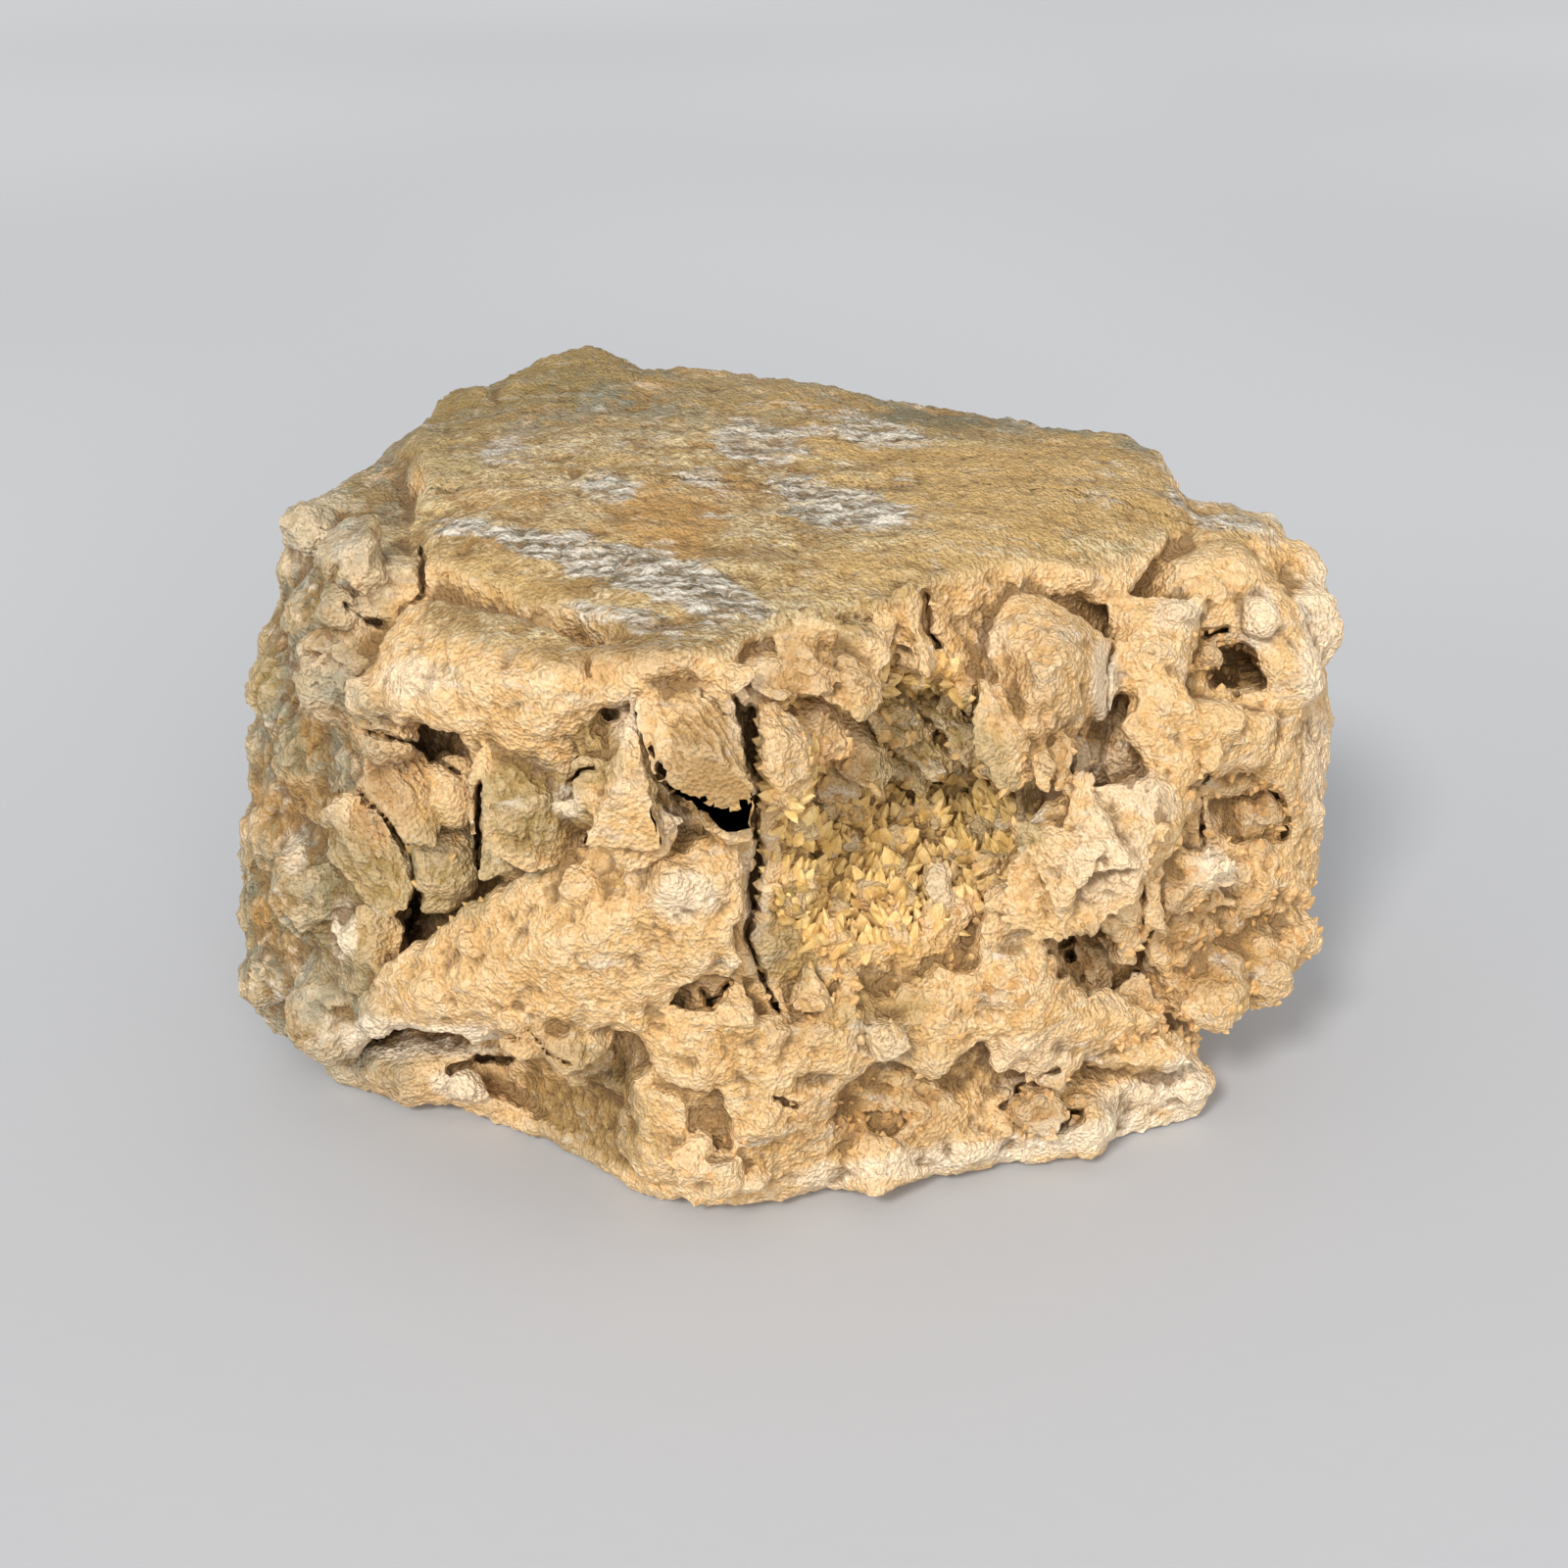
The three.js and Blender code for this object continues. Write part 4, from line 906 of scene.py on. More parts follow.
@dataclass
class Surface:
    """A triangle mesh as arrays, in millimetres."""

    points: Array
    faces: Array

    def crossed(self) -> Array:
        """Each face's normal, twice as long as its area."""
        a, b, c = (self.points[self.faces[:, k]] for k in range(3))
        return np.cross(b - a, c - a)

    def normals(self) -> Array:
        """Unit normals of the points: the sum of the faces' normals around each, scaled to length 1."""
        cross = self.crossed()
        total = np.zeros_like(self.points)
        for axis in range(3):
            for corner in range(3):
                index = self.faces[:, corner]
                total[:, axis] += np.bincount(index, weights=cross[:, axis], minlength=len(total))
        return total / np.maximum(lengths(total), 1e-12)[:, None]

    def blurred(self, values: Array, rounds: int, strength: float = 0.7) -> Array:
        """Values smoothed along the surface.

        Args:
            values: One row a point.
            rounds: How often each point moves towards the mean of its neighbours.
            strength: Share of the way that it moves.

        Returns:
            The smoothed values.
        """
        pairs = np.concatenate([self.faces[:, [0, 1]], self.faces[:, [1, 2]], self.faces[:, [2, 0]]])
        start, end = pairs[:, 0], pairs[:, 1]
        count = np.maximum(np.bincount(start, minlength=len(self.points)), 1).astype(float)
        out = np.array(values, dtype=float).reshape(len(self.points), -1)
        for _ in range(rounds):
            total = [np.bincount(start, weights=column[end], minlength=len(out)) for column in out.T]
            out += strength * (np.stack(total, axis=-1) / count[:, None] - out)
        return out.reshape(np.shape(values))

    def relief(self, few: int, many: int) -> Array:
        """How far each point stands out of its surroundings, from -1 in a crevice to 1 on a tip.

        Args:
            few: Rounds of smoothing for the fine part.
            many: Rounds of smoothing for the wide part.

        Returns:
            The sum of both parts, each over its own full height, held between -1 and 1.
        """
        normals = self.normals()
        near = self.blurred(self.points, few)
        wide = self.blurred(near, many - few)
        fine = np.einsum("ij,ij->i", self.points - near, normals) / FINE_RELIEF
        broad = np.einsum("ij,ij->i", self.points - wide, normals) / WIDE_RELIEF
        return np.clip(FINE_SHARE * fine + broad, -1.0, 1.0)

    def raised(self, heights: Array) -> "Surface":
        """The surface with each point moved along its normal by its height."""
        return Surface(self.points + self.normals() * heights[:, None], self.faces)


class Field:
    """Signed distances to a solid on a regular grid, negative inside and held to a narrow band."""

    def __init__(self, surface: Surface, step: float, band: float = 3.0) -> None:
        """Works out the distances of a closed surface.

        Args:
            surface: The closed surface.
            step: The grid's spacing in millimetres.
            band: The distance that the values are held to.
        """
        self.step = step
        self.band = band
        low = np.floor((surface.points.min(axis=0) - band) / step).astype(int) - 2
        high = np.ceil((surface.points.max(axis=0) + band) / step).astype(int) + 2
        self.corner = tuple(int(v) for v in low)
        grid = openvdb.FloatGrid.createLevelSetFromPolygons(
            surface.points.astype(np.float32),
            triangles=surface.faces.astype(np.uint32),
            transform=openvdb.createLinearTransform(step),
            halfWidth=band / step,
        )
        self.values = np.full(tuple(high - low), band, dtype=np.float32)
        grid.copyToArray(self.values, ijk=self.corner)

    def places(self, chosen: Array) -> Array:
        """The positions of the grid points with the given flat numbers."""
        index = np.stack(np.unravel_index(chosen, self.values.shape), axis=-1)
        return (index + np.array(self.corner)) * self.step

    def near(self, distance: float) -> Array:
        """The flat numbers of the grid points closer to the surface than a distance."""
        return np.flatnonzero(np.abs(self.values.ravel()) < distance)

    def blur(self, rounds: int) -> None:
        """Rounds edges off: along each axis, a value becomes half itself plus a quarter of its neighbours."""
        for _ in range(rounds):
            for axis in range(3):
                v = np.moveaxis(self.values, axis, 0)
                v[1:-1] = 0.25 * (v[:-2] + v[2:]) + 0.5 * v[1:-1]

    def along(self, axis: int) -> Array:
        """The grid points' positions along one axis, shaped to spread over the whole grid."""
        shape = [1, 1, 1]
        shape[axis] = self.values.shape[axis]
        return ((np.arange(shape[axis]) + self.corner[axis]) * self.step).reshape(shape)

    def soften(self, share: Array, rounds: int) -> None:
        """Mixes the values with their blurred ones, by a share for each grid point."""
        sharp = self.values.copy()
        self.blur(rounds)
        self.values += (1.0 - share.astype(np.float32)) * (sharp - self.values)

    def join(self, crystal: Crystal, soft: float = 0.35) -> None:
        """Joins a crystal on, with a hollow fillet of the given size where it meets the solid.

        The joined value is the smaller of the two less h (1 - h) times the fillet, where h goes from 0 to 1
        as their difference goes from one fillet to the other side.

        Args:
            crystal: The crystal.
            soft: The fillet's size in millimetres.
        """
        low = np.floor((crystal.centre - crystal.radius - 1.0) / self.step).astype(int)
        high = np.ceil((crystal.centre + crystal.radius + 1.0) / self.step).astype(int)
        low, high = low - np.array(self.corner), high - np.array(self.corner)
        low, high = np.maximum(low, 0), np.minimum(high, self.values.shape)
        if (high <= low).any():
            return
        box = tuple(slice(a, b) for a, b in zip(low, high))
        index = np.stack(np.meshgrid(*(np.arange(a, b) for a, b in zip(low, high)), indexing="ij"), axis=-1)
        points = (index.reshape(-1, 3) + np.array(self.corner)) * self.step
        new = crystal.distance(points).reshape(index.shape[:3])
        old = self.values[box]
        share = np.clip(0.5 + 0.5 * (old - new) / soft, 0.0, 1.0)
        self.values[box] = share * new + (1.0 - share) * old - soft * share * (1.0 - share)

    def unite(self, other: "Field", soft: float = 1.2) -> None:
        """Joins another field of the same spacing on, with the fillet that join makes."""
        start = np.array(other.corner) - np.array(self.corner)
        low = np.maximum(start, 0)
        high = np.minimum(start + np.array(other.values.shape), self.values.shape)
        here = tuple(slice(a, b) for a, b in zip(low, high))
        there = tuple(slice(a, b) for a, b in zip(low - start, high - start))
        old, new = self.values[here], other.values[there]
        share = np.clip(0.5 + 0.5 * (old - new) / soft, 0.0, 1.0)
        self.values[here] = share * new + (1.0 - share) * old - soft * share * (1.0 - share)

    def cut(self, cracks: list[Crack], shell: Shell) -> None:
        """Cuts gaps out: each value becomes at least the negative distance to every gap."""
        flat = self.values.reshape(-1)
        deepest = max(crack.depth for crack in cracks)
        chosen = np.flatnonzero(flat < self.band)
        points = self.places(chosen)
        chosen = chosen[points[:, 1] < 30.0]
        points = self.places(chosen)
        seen = sight(points)
        behind = shell.behind(seen)
        close = behind < deepest + 1.0
        chosen, behind = chosen[close], behind[close]
        seen = Sight(seen.column[close], seen.row[close], seen.distance[close])
        for crack in cracks:
            margin = crack.half_width / MM_A_PIXEL + 8.0
            columns = [column for column, _ in crack.line]
            rows = [row for _, row in crack.line]
            inside = (
                (seen.column > min(columns) - margin) & (seen.column < max(columns) + margin)
                & (seen.row > min(rows) - margin) & (seen.row < max(rows) + margin)
                & (behind < crack.depth + 1.0)
            )
            part = np.flatnonzero(inside)
            there = Sight(seen.column[part], seen.row[part], seen.distance[part])
            gap = crack.distance(there, behind[part])
            flat[chosen[part]] = np.maximum(flat[chosen[part]], -gap)

    def crowding(self, reach: float) -> Array:
        """The share of stone in the cube around each grid point, from running sums along the three axes."""
        half = int(round(reach / self.step))
        share = (self.values < 0).astype(np.float32)
        for axis in range(3):
            s = np.moveaxis(share, axis, 0)
            before = np.zeros((half + 1, *s.shape[1:]))
            after = np.zeros((half, *s.shape[1:]))
            padded = np.concatenate([before, s, after])
            total = np.cumsum(padded, axis=0, dtype=np.float32)
            window = 2 * half + 1
            share = np.moveaxis((total[window:] - total[:-window]) / window, 0, axis)
        return share

    def sampled(self, grid: Array, points: Array) -> Array:
        """A grid's values at points, mixed from the eight grid points around each."""
        place = points / self.step - np.array(self.corner)
        place = np.clip(place, 0.0, np.array(grid.shape) - 1.001)
        base = place.astype(int)
        part = place - base
        total = np.zeros(len(points))
        for shift in np.ndindex(2, 2, 2):
            weight = np.prod(np.where(np.array(shift) > 0, part, 1.0 - part), axis=-1)
            index = base + np.array(shift)
            total += weight * grid[index[:, 0], index[:, 1], index[:, 2]]
        return total

    def surface(self) -> Surface:
        """The surface where the distance is 0, in triangles."""
        grid = openvdb.FloatGrid(self.band)
        grid.transform = openvdb.createLinearTransform(self.step)
        grid.copyFromArray(self.values, ijk=self.corner)
        points, triangles, quads = grid.convertToPolygons(0.0, 0.0)
        halves = np.concatenate([quads[:, [0, 1, 2]], quads[:, [0, 2, 3]]]) if len(quads) else quads[:, :3]
        faces = np.concatenate([triangles, halves]).astype(np.int64)[:, ::-1]
        surface = Surface(points.astype(float), faces)
        volume = np.einsum("ij,ij->", surface.points[faces[:, 0]], surface.crossed())
        return surface if volume > 0 else Surface(surface.points, faces[:, ::-1])


def largest_body(surface: Surface) -> Surface:
    """The surface without its loose crumbs.

    Every point takes the smallest number among its neighbours until nothing changes, which leaves one number
    for each body.

    Args:
        surface: One large body and small ones.

    Returns:
        The body with the most points.
    """
    label = np.arange(len(surface.points))
    a, b, c = surface.faces.T
    while True:
        least = np.minimum(np.minimum(label[a], label[b]), label[c])
        new = label.copy()
        for corner in (a, b, c):
            np.minimum.at(new, corner, least)
        new = new[new]
        if (new == label).all():
            break
        label = new
    kept = label == np.bincount(label).argmax()
    number = np.cumsum(kept) - 1
    return Surface(surface.points[kept], number[surface.faces[kept[a]]])


def closed_part(surface: Surface, chosen: Array, bulge: float) -> tuple[Surface, Array]:
    """Some faces of a closed surface as a closed surface of their own.

    The rim is made of the edges that only one chosen face has. Each gets one more face to a point at the
    rim's middle, moved along Y by the bulge.

    Args:
        surface: The closed surface.
        chosen: Which faces to take.
        bulge: Millimetres.

    Returns:
        The part, and which of its faces close it.
    """
    faces = surface.faces[chosen]
    edges = np.concatenate([faces[:, [0, 1]], faces[:, [1, 2]], faces[:, [2, 0]]]).astype(np.int64)
    count = len(surface.points)
    there = edges[:, 0] * count + edges[:, 1]
    back = edges[:, 1] * count + edges[:, 0]
    rim = edges[~np.isin(there, back)]
    middle = surface.points[rim[:, 0]].mean(axis=0) + np.array([0.0, bulge, 0.0])
    cap = np.stack([rim[:, 1], rim[:, 0], np.full(len(rim), count)], axis=-1)
    faces = np.concatenate([faces, cap])
    used, number = np.unique(faces, return_inverse=True)
    points = np.concatenate([surface.points, middle[None]])[used]
    closing = np.arange(len(faces)) >= len(faces) - len(cap)
    return Surface(points, number.reshape(-1, 3)), closing


def surface_of(mesh: bpy.types.Mesh) -> Surface:
    """The triangles of a Blender mesh as arrays."""
    mesh.calc_loop_triangles()
    points = np.empty(len(mesh.vertices) * 3)
    mesh.vertices.foreach_get("co", points)
    faces = np.empty(len(mesh.loop_triangles) * 3, dtype=np.int32)
    mesh.loop_triangles.foreach_get("vertices", faces)
    return Surface(points.reshape(-1, 3), faces.reshape(-1, 3))


def mesh_of(surface: Surface, name: str, unit: float = MM) -> bpy.types.Mesh:
    """Writes arrays into a new Blender mesh.

    Args:
        surface: The points and triangles.
        name: The mesh's name.
        unit: Metres in one of the arrays' units.

    Returns:
        The mesh, with its place in its points.
    """
    mesh = bpy.data.meshes.new(name)
    mesh.vertices.add(len(surface.points))
    mesh.vertices.foreach_set("co", (surface.points * unit).ravel())
    mesh.loops.add(len(surface.faces) * 3)
    mesh.loops.foreach_set("vertex_index", surface.faces.astype(np.int32).ravel())
    mesh.polygons.add(len(surface.faces))
    mesh.polygons.foreach_set("loop_start", np.arange(len(surface.faces), dtype=np.int32) * 3)
    mesh.update(calc_edges=True)
    return mesh


def linked(mesh: bpy.types.Mesh, name: str) -> bpy.types.Object:
    """An object for a mesh, in the scene's collection."""
    made = bpy.data.objects.new(name, mesh)
    bpy.context.scene.collection.objects.link(made)
    return made


def thinned(surface: Surface, triangles: int, coarse: Array) -> Surface:
    """A surface with fewer triangles, by collapsing edges.

    Args:
        surface: The surface.
        triangles: How many are left at most.
        coarse: A weight from 0 to 1 for each point, high where more edges may go.

    Returns:
        The thinner surface.
    """
    share = triangles / len(surface.faces)
    if share >= 1.0:
        return surface
    mesh = mesh_of(surface, "working", unit=1.0)
    work = linked(mesh, "working")
    group = work.vertex_groups.new(name="coarse")
    levels = np.round(coarse * 8).astype(int)
    for level in range(9):
        group.add(np.flatnonzero(levels == level).tolist(), level / 8, "REPLACE")
    modifier = work.modifiers.new("thin", "DECIMATE")
    modifier.ratio = share * 0.995
    modifier.vertex_group = group.name
    modifier.vertex_group_factor = 1.0
    evaluated = work.evaluated_get(bpy.context.evaluated_depsgraph_get())
    result = surface_of(evaluated.to_mesh())
    evaluated.to_mesh_clear()
    bpy.data.objects.remove(work)
    bpy.data.meshes.remove(mesh)
    return result


def solid_surface(node: bpy.types.Object) -> Surface:
    """A CAD node as a surface with merged corners, moved so that the view's axis is x = y = 0."""
    loose = surface_of(node.data)
    world = np.array(node.matrix_world)
    points = (loose.points @ world[:3, :3].T + world[:3, 3]) / MM - VIEW_AXIS
    rounded, index = np.unique(np.round(points, 3), axis=0, return_inverse=True)
    faces = index.reshape(-1)[loose.faces]
    whole = (faces[:, 0] != faces[:, 1]) & (faces[:, 1] != faces[:, 2]) & (faces[:, 2] != faces[:, 0])
    return Surface(rounded, faces[whole])


@dataclass
class Setting:
    """What every place on the specimen is worked out from: the stone's field and the shown surface."""

    field: Field
    shell: Shell
    crowded: Array
    slab_levels: tuple[float, float] = (65.0, 67.0)
    left_limits: tuple[float, float] = (-42.0, -49.0)
    left_start: tuple[float, float] = (-40.0, -34.0)
    rear_limits: tuple[float, float] = (18.0, 30.0)

    def masks(self, points: Array, normals: Array) -> dict[Look, Array]:
        """The finishes' masks at points.

        Args:
            points: Places on the specimen.
            normals: The surface's wide normals there.

        Returns:
            A share from 0 to 1 for each look. The relief is left at 0.
        """
        seen = sight(points)
        behind = self.shell.behind(seen)
        ragged = ragged_edge(points)
        masks = {look: covered(spots, seen, behind, ragged) for look, spots in COLOUR_SPOTS.items()}
        masks[Look.SLAB] = self.on_slab(points, normals)
        masks[Look.FLANK] = self.on_flank(points, normals)
        crowd = self.field.sampled(self.crowded, points)
        masks[Look.HOLLOW] = smoothstep(0.52, 0.86, crowd)
        masks[Look.RELIEF] = np.zeros(len(points))
        masks[Look.TINT] = np.full(len(points), 0.5)
        return masks

    def on_slab(self, points: Array, normals: Array) -> Array:
        """The top of the wall rock: high up, and facing up."""
        height = points[:, 2] + 1.2 * noise(points, 7.0, 43) + 0.6 * noise(points, 2.0, 44)
        return smoothstep(*self.slab_levels, height) * smoothstep(0.5, 0.8, normals[:, 2])

    def on_flank(self, points: Array, normals: Array) -> Array:
        """The weathered sides: the left one and the back, away from the broken front."""
        wavy = 5.0 * layered(points, 12.0, 47)
        left = smoothstep(*self.left_limits, points[:, 0] + wavy)
        left *= smoothstep(*self.left_start, points[:, 1] + wavy)
        rear = smoothstep(*self.rear_limits, points[:, 1] + wavy)
        return np.maximum(left, rear)


def write_masks(mesh: bpy.types.Mesh, masks: dict[Look, Array]) -> None:
    """Stores each mask as a point attribute of the mesh."""
    for look, values in masks.items():
        attribute = mesh.attributes.new(look.value, "FLOAT", "POINT")
        attribute.data.foreach_set("value", values.astype(np.float32))


@dataclass(frozen=True)
class Sprouts:
    """Small crystals grown on a surface.

    The ring holds the crystal's faces around, and sizes run between the two lengths. Crystals are that many
    times as wide as long, lie over by up to the tilt, lean up by the upward share, and stand in the surface
    by the sunk share.
    """

    count: int
    shortest: float
    longest: float
    slender: float
    flat: float
    tilt: float
    sunk: float
    seed: int
    ring: int = 6
    upward: float = 0.0

    def grow(self, surface: Surface, weight: Array) -> tuple[Surface, Array]:
        """Grows the crystals.

        Places are drawn on the faces in proportion to area times weight. Each crystal is three rings of
        points between two tips, stretched along a tilted normal, all worked out at once.

        Args:
            surface: What they grow on.
            weight: How thickly they grow, for each point of the surface.

        Returns:
            The crystals' surface, and the number of each point's crystal.
        """
        rng = np.random.default_rng(self.seed)
        cross = surface.crossed()
        area = lengths(cross) * weight[surface.faces].mean(axis=1)
        chosen = rng.choice(len(area), size=self.count, p=area / area.sum())
        share = rng.dirichlet((1.0, 1.0, 1.0), self.count)
        place = np.einsum("ij,ijk->ik", share, surface.points[surface.faces[chosen]])
        outward = surface.normals()[surface.faces[chosen, 0]]
        way = outward + self.tilt * rng.normal(size=(self.count, 3)) + self.upward * GROWTH_WAY
        way /= lengths(way)[:, None]
        side = np.cross(way, rng.normal(size=(self.count, 3)))
        side /= lengths(side)[:, None]
        other = np.cross(way, side)
        long = self.shortest + (self.longest - self.shortest) * rng.random(self.count) ** 2
        wide = long * self.slender * (0.8 + 0.4 * rng.random(self.count))
        thin = wide * self.flat
        angle = np.arange(self.ring) * 2.0 * math.pi / self.ring
        wavy = 0.06 * np.cos(3.0 * angle)
        rings = [
            np.stack([radius * np.cos(angle), radius * np.sin(angle), level + wavy], axis=-1)
            for level, radius in LENS_RINGS
        ]
        template = np.concatenate([*rings, [[0.0, 0.0, -1.0], [0.0, 0.0, 1.0]]])
        base = place + way * (long * (0.5 - self.sunk))[:, None]
        points = (
            base[:, None, :]
            + (template[None, :, 0] * wide[:, None] / 2)[..., None] * side[:, None, :]
            + (template[None, :, 1] * thin[:, None] / 2)[..., None] * other[:, None, :]
            + (template[None, :, 2] * long[:, None] / 2)[..., None] * way[:, None, :]
        )
        here = np.arange(self.ring)
        after = (here + 1) % self.ring
        corners = 3 * self.ring + 2
        low = np.stack([after, here, np.full(self.ring, corners - 2)], axis=-1)
        last = 2 * self.ring
        high = np.stack([here + last, after + last, np.full(self.ring, corners - 1)], axis=-1)
        bands = [
            np.concatenate([
                np.stack([here + k, after + k, after + k + self.ring], axis=-1),
                np.stack([here + k, after + k + self.ring, here + k + self.ring], axis=-1),
            ])
            for k in (0, self.ring)
        ]
        pattern = np.concatenate([low, *bands, high])
        faces = pattern[None] + (np.arange(self.count) * corners)[:, None, None]
        owner = np.repeat(np.arange(self.count), corners)
        return Surface(points.reshape(-1, 3), faces.reshape(-1, 3)), owner


@dataclass(frozen=True)
class Paint:
    """A colour as it looks on a screen, from 0 to 255."""

    red: float
    green: float
    blue: float

    def linear(self) -> tuple[float, float, float, float]:
        """The colour as light: each share s becomes ((s + 0.055) / 1.055) to the power 2.4."""
        shares = (self.red / 255, self.green / 255, self.blue / 255)
        r, g, b = (((s + 0.055) / 1.055) ** 2.4 if s > 0.04 else s / 12.92 for s in shares)
        return (r, g, b, 1.0)


class Graph:
    """A material's nodes, with the few kinds that the finishes here are made of."""

    def __init__(self, name: str) -> None:
        """Starts an empty material of that name."""
        self.material = bpy.data.materials.new(name)
        self.material.use_nodes = True
        self.tree = self.material.node_tree
        self.tree.nodes.clear()
        self.place = self.tree.nodes.new("ShaderNodeTexCoord").outputs["Object"]

    def node(self, kind: str, inputs: dict[Any, Any] | None = None, **properties: Any) -> bpy.types.Node:
        """Adds a node.

        Args:
            kind: The node's type.
            inputs: Socket by name or number, with a value or another node's output.
            properties: The node's own settings.

        Returns:
            The node.
        """
        made = self.tree.nodes.new(kind)
        for key, value in properties.items():
            setattr(made, key, value)
        for key, value in (inputs or {}).items():
            if isinstance(value, bpy.types.NodeSocket):
                self.tree.links.new(value, made.inputs[key])
            else:
                made.inputs[key].default_value = value
        return made

    def mask(self, look: Look) -> bpy.types.NodeSocket:
        """A mask of the mesh."""
        return self.node("ShaderNodeAttribute", attribute_name=look.value).outputs["Fac"]

    def noise(self, size: float, detail: float = 4.0, roughness: float = 0.6) -> bpy.types.NodeSocket:
        """Noise from 0 to 1 with bumps of a size in millimetres, in the object's place."""
        inputs = {"Vector": self.place, "Scale": 1.0 / (size * MM), "Detail": detail, "Roughness": roughness}
        return self.node("ShaderNodeTexNoise", inputs).outputs["Fac"]

    def streaks(self, size: float, stretch: float, turn: float) -> bpy.types.NodeSocket:
        """Noise drawn out across the slab, in a direction turned about Z by some degrees."""
        place = {
            "Vector": self.place,
            "Rotation": (0.0, 0.0, math.radians(turn)),
            "Scale": (1.0 / stretch, 1.0, 1.0),
        }
        turned = self.node("ShaderNodeMapping", place).outputs[0]
        inputs = {"Vector": turned, "Scale": 1.0 / (size * MM), "Detail": 3.0, "Roughness": 0.68}
        return self.node("ShaderNodeTexNoise", inputs).outputs["Fac"]

    def grains(self, size: float) -> bpy.types.NodeSocket:
        """Distance inside cells of a size in millimetres, in the object's place."""
        inputs = {"Vector": self.place, "Scale": 1.0 / (size * MM)}
        return self.node("ShaderNodeTexVoronoi", inputs).outputs["Distance"]

    def speckle(self, size: float) -> bpy.types.NodeSocket:
        """A random value for each cell of a size in millimetres, in the object's place."""
        inputs = {"Vector": self.place, "Scale": 1.0 / (size * MM)}
        cell = self.node("ShaderNodeTexVoronoi", inputs).outputs["Color"]
        return self.node("ShaderNodeSeparateColor", {0: cell}).outputs[0]

    def ranged(
        self, value: Any, low: float, high: float, start: float = 0.0, end: float = 1.0
    ) -> bpy.types.NodeSocket:
        """The value carried from one range to another and held inside it."""
        inputs = {0: value, 1: low, 2: high, 3: start, 4: end}
        return self.node("ShaderNodeMapRange", inputs).outputs[0]

    def sum(self, first: Any, second: Any, factor: float = 1.0) -> bpy.types.NodeSocket:
        """The first value plus factor times the second."""
        inputs = {0: second, 1: factor, 2: first}
        return self.node("ShaderNodeMath", inputs, operation="MULTIPLY_ADD").outputs[0]

    def product(self, first: Any, second: Any) -> bpy.types.NodeSocket:
        """The product of two values."""
        return self.node("ShaderNodeMath", {0: first, 1: second}, operation="MULTIPLY").outputs[0]

    def blend(self, share: Any, under: Any, over: Any, kind: str = "MIX") -> bpy.types.NodeSocket:
        """Two colours mixed by a share."""
        mixed = self.node("ShaderNodeMix", data_type="RGBA", blend_type=kind)
        for key, value in ((0, share), (6, under), (7, over)):
            if isinstance(value, Paint):
                mixed.inputs[key].default_value = value.linear()
            elif isinstance(value, bpy.types.NodeSocket):
                self.tree.links.new(value, mixed.inputs[key])
            else:
                mixed.inputs[key].default_value = value
        return mixed.outputs[2]

    def finish(
        self, colour: Any, roughness: Any, bump: Any, height: float, **shader: Any
    ) -> bpy.types.Material:
        """Ends the graph in a Principled shader.

        Args:
            colour: Base colour socket.
            roughness: Roughness socket or number.
            bump: Height socket of the fine relief.
            height: The relief's depth in metres.
            shader: Constant values of the shader, by socket name with underscores for spaces.

        Returns:
            The material.
        """
        relief = self.node("ShaderNodeBump", {"Height": bump, "Distance": height, "Strength": 1.0})
        inputs = {"Base Color": colour, "Roughness": roughness, "Normal": relief.outputs[0]}
        for key, value in shader.items():
            inputs[key.replace("_", " ")] = value
        principled = self.node("ShaderNodeBsdfPrincipled", inputs)
        output = self.node("ShaderNodeOutputMaterial", {"Surface": principled.outputs[0]})
        output.is_active_output = True
        return self.material


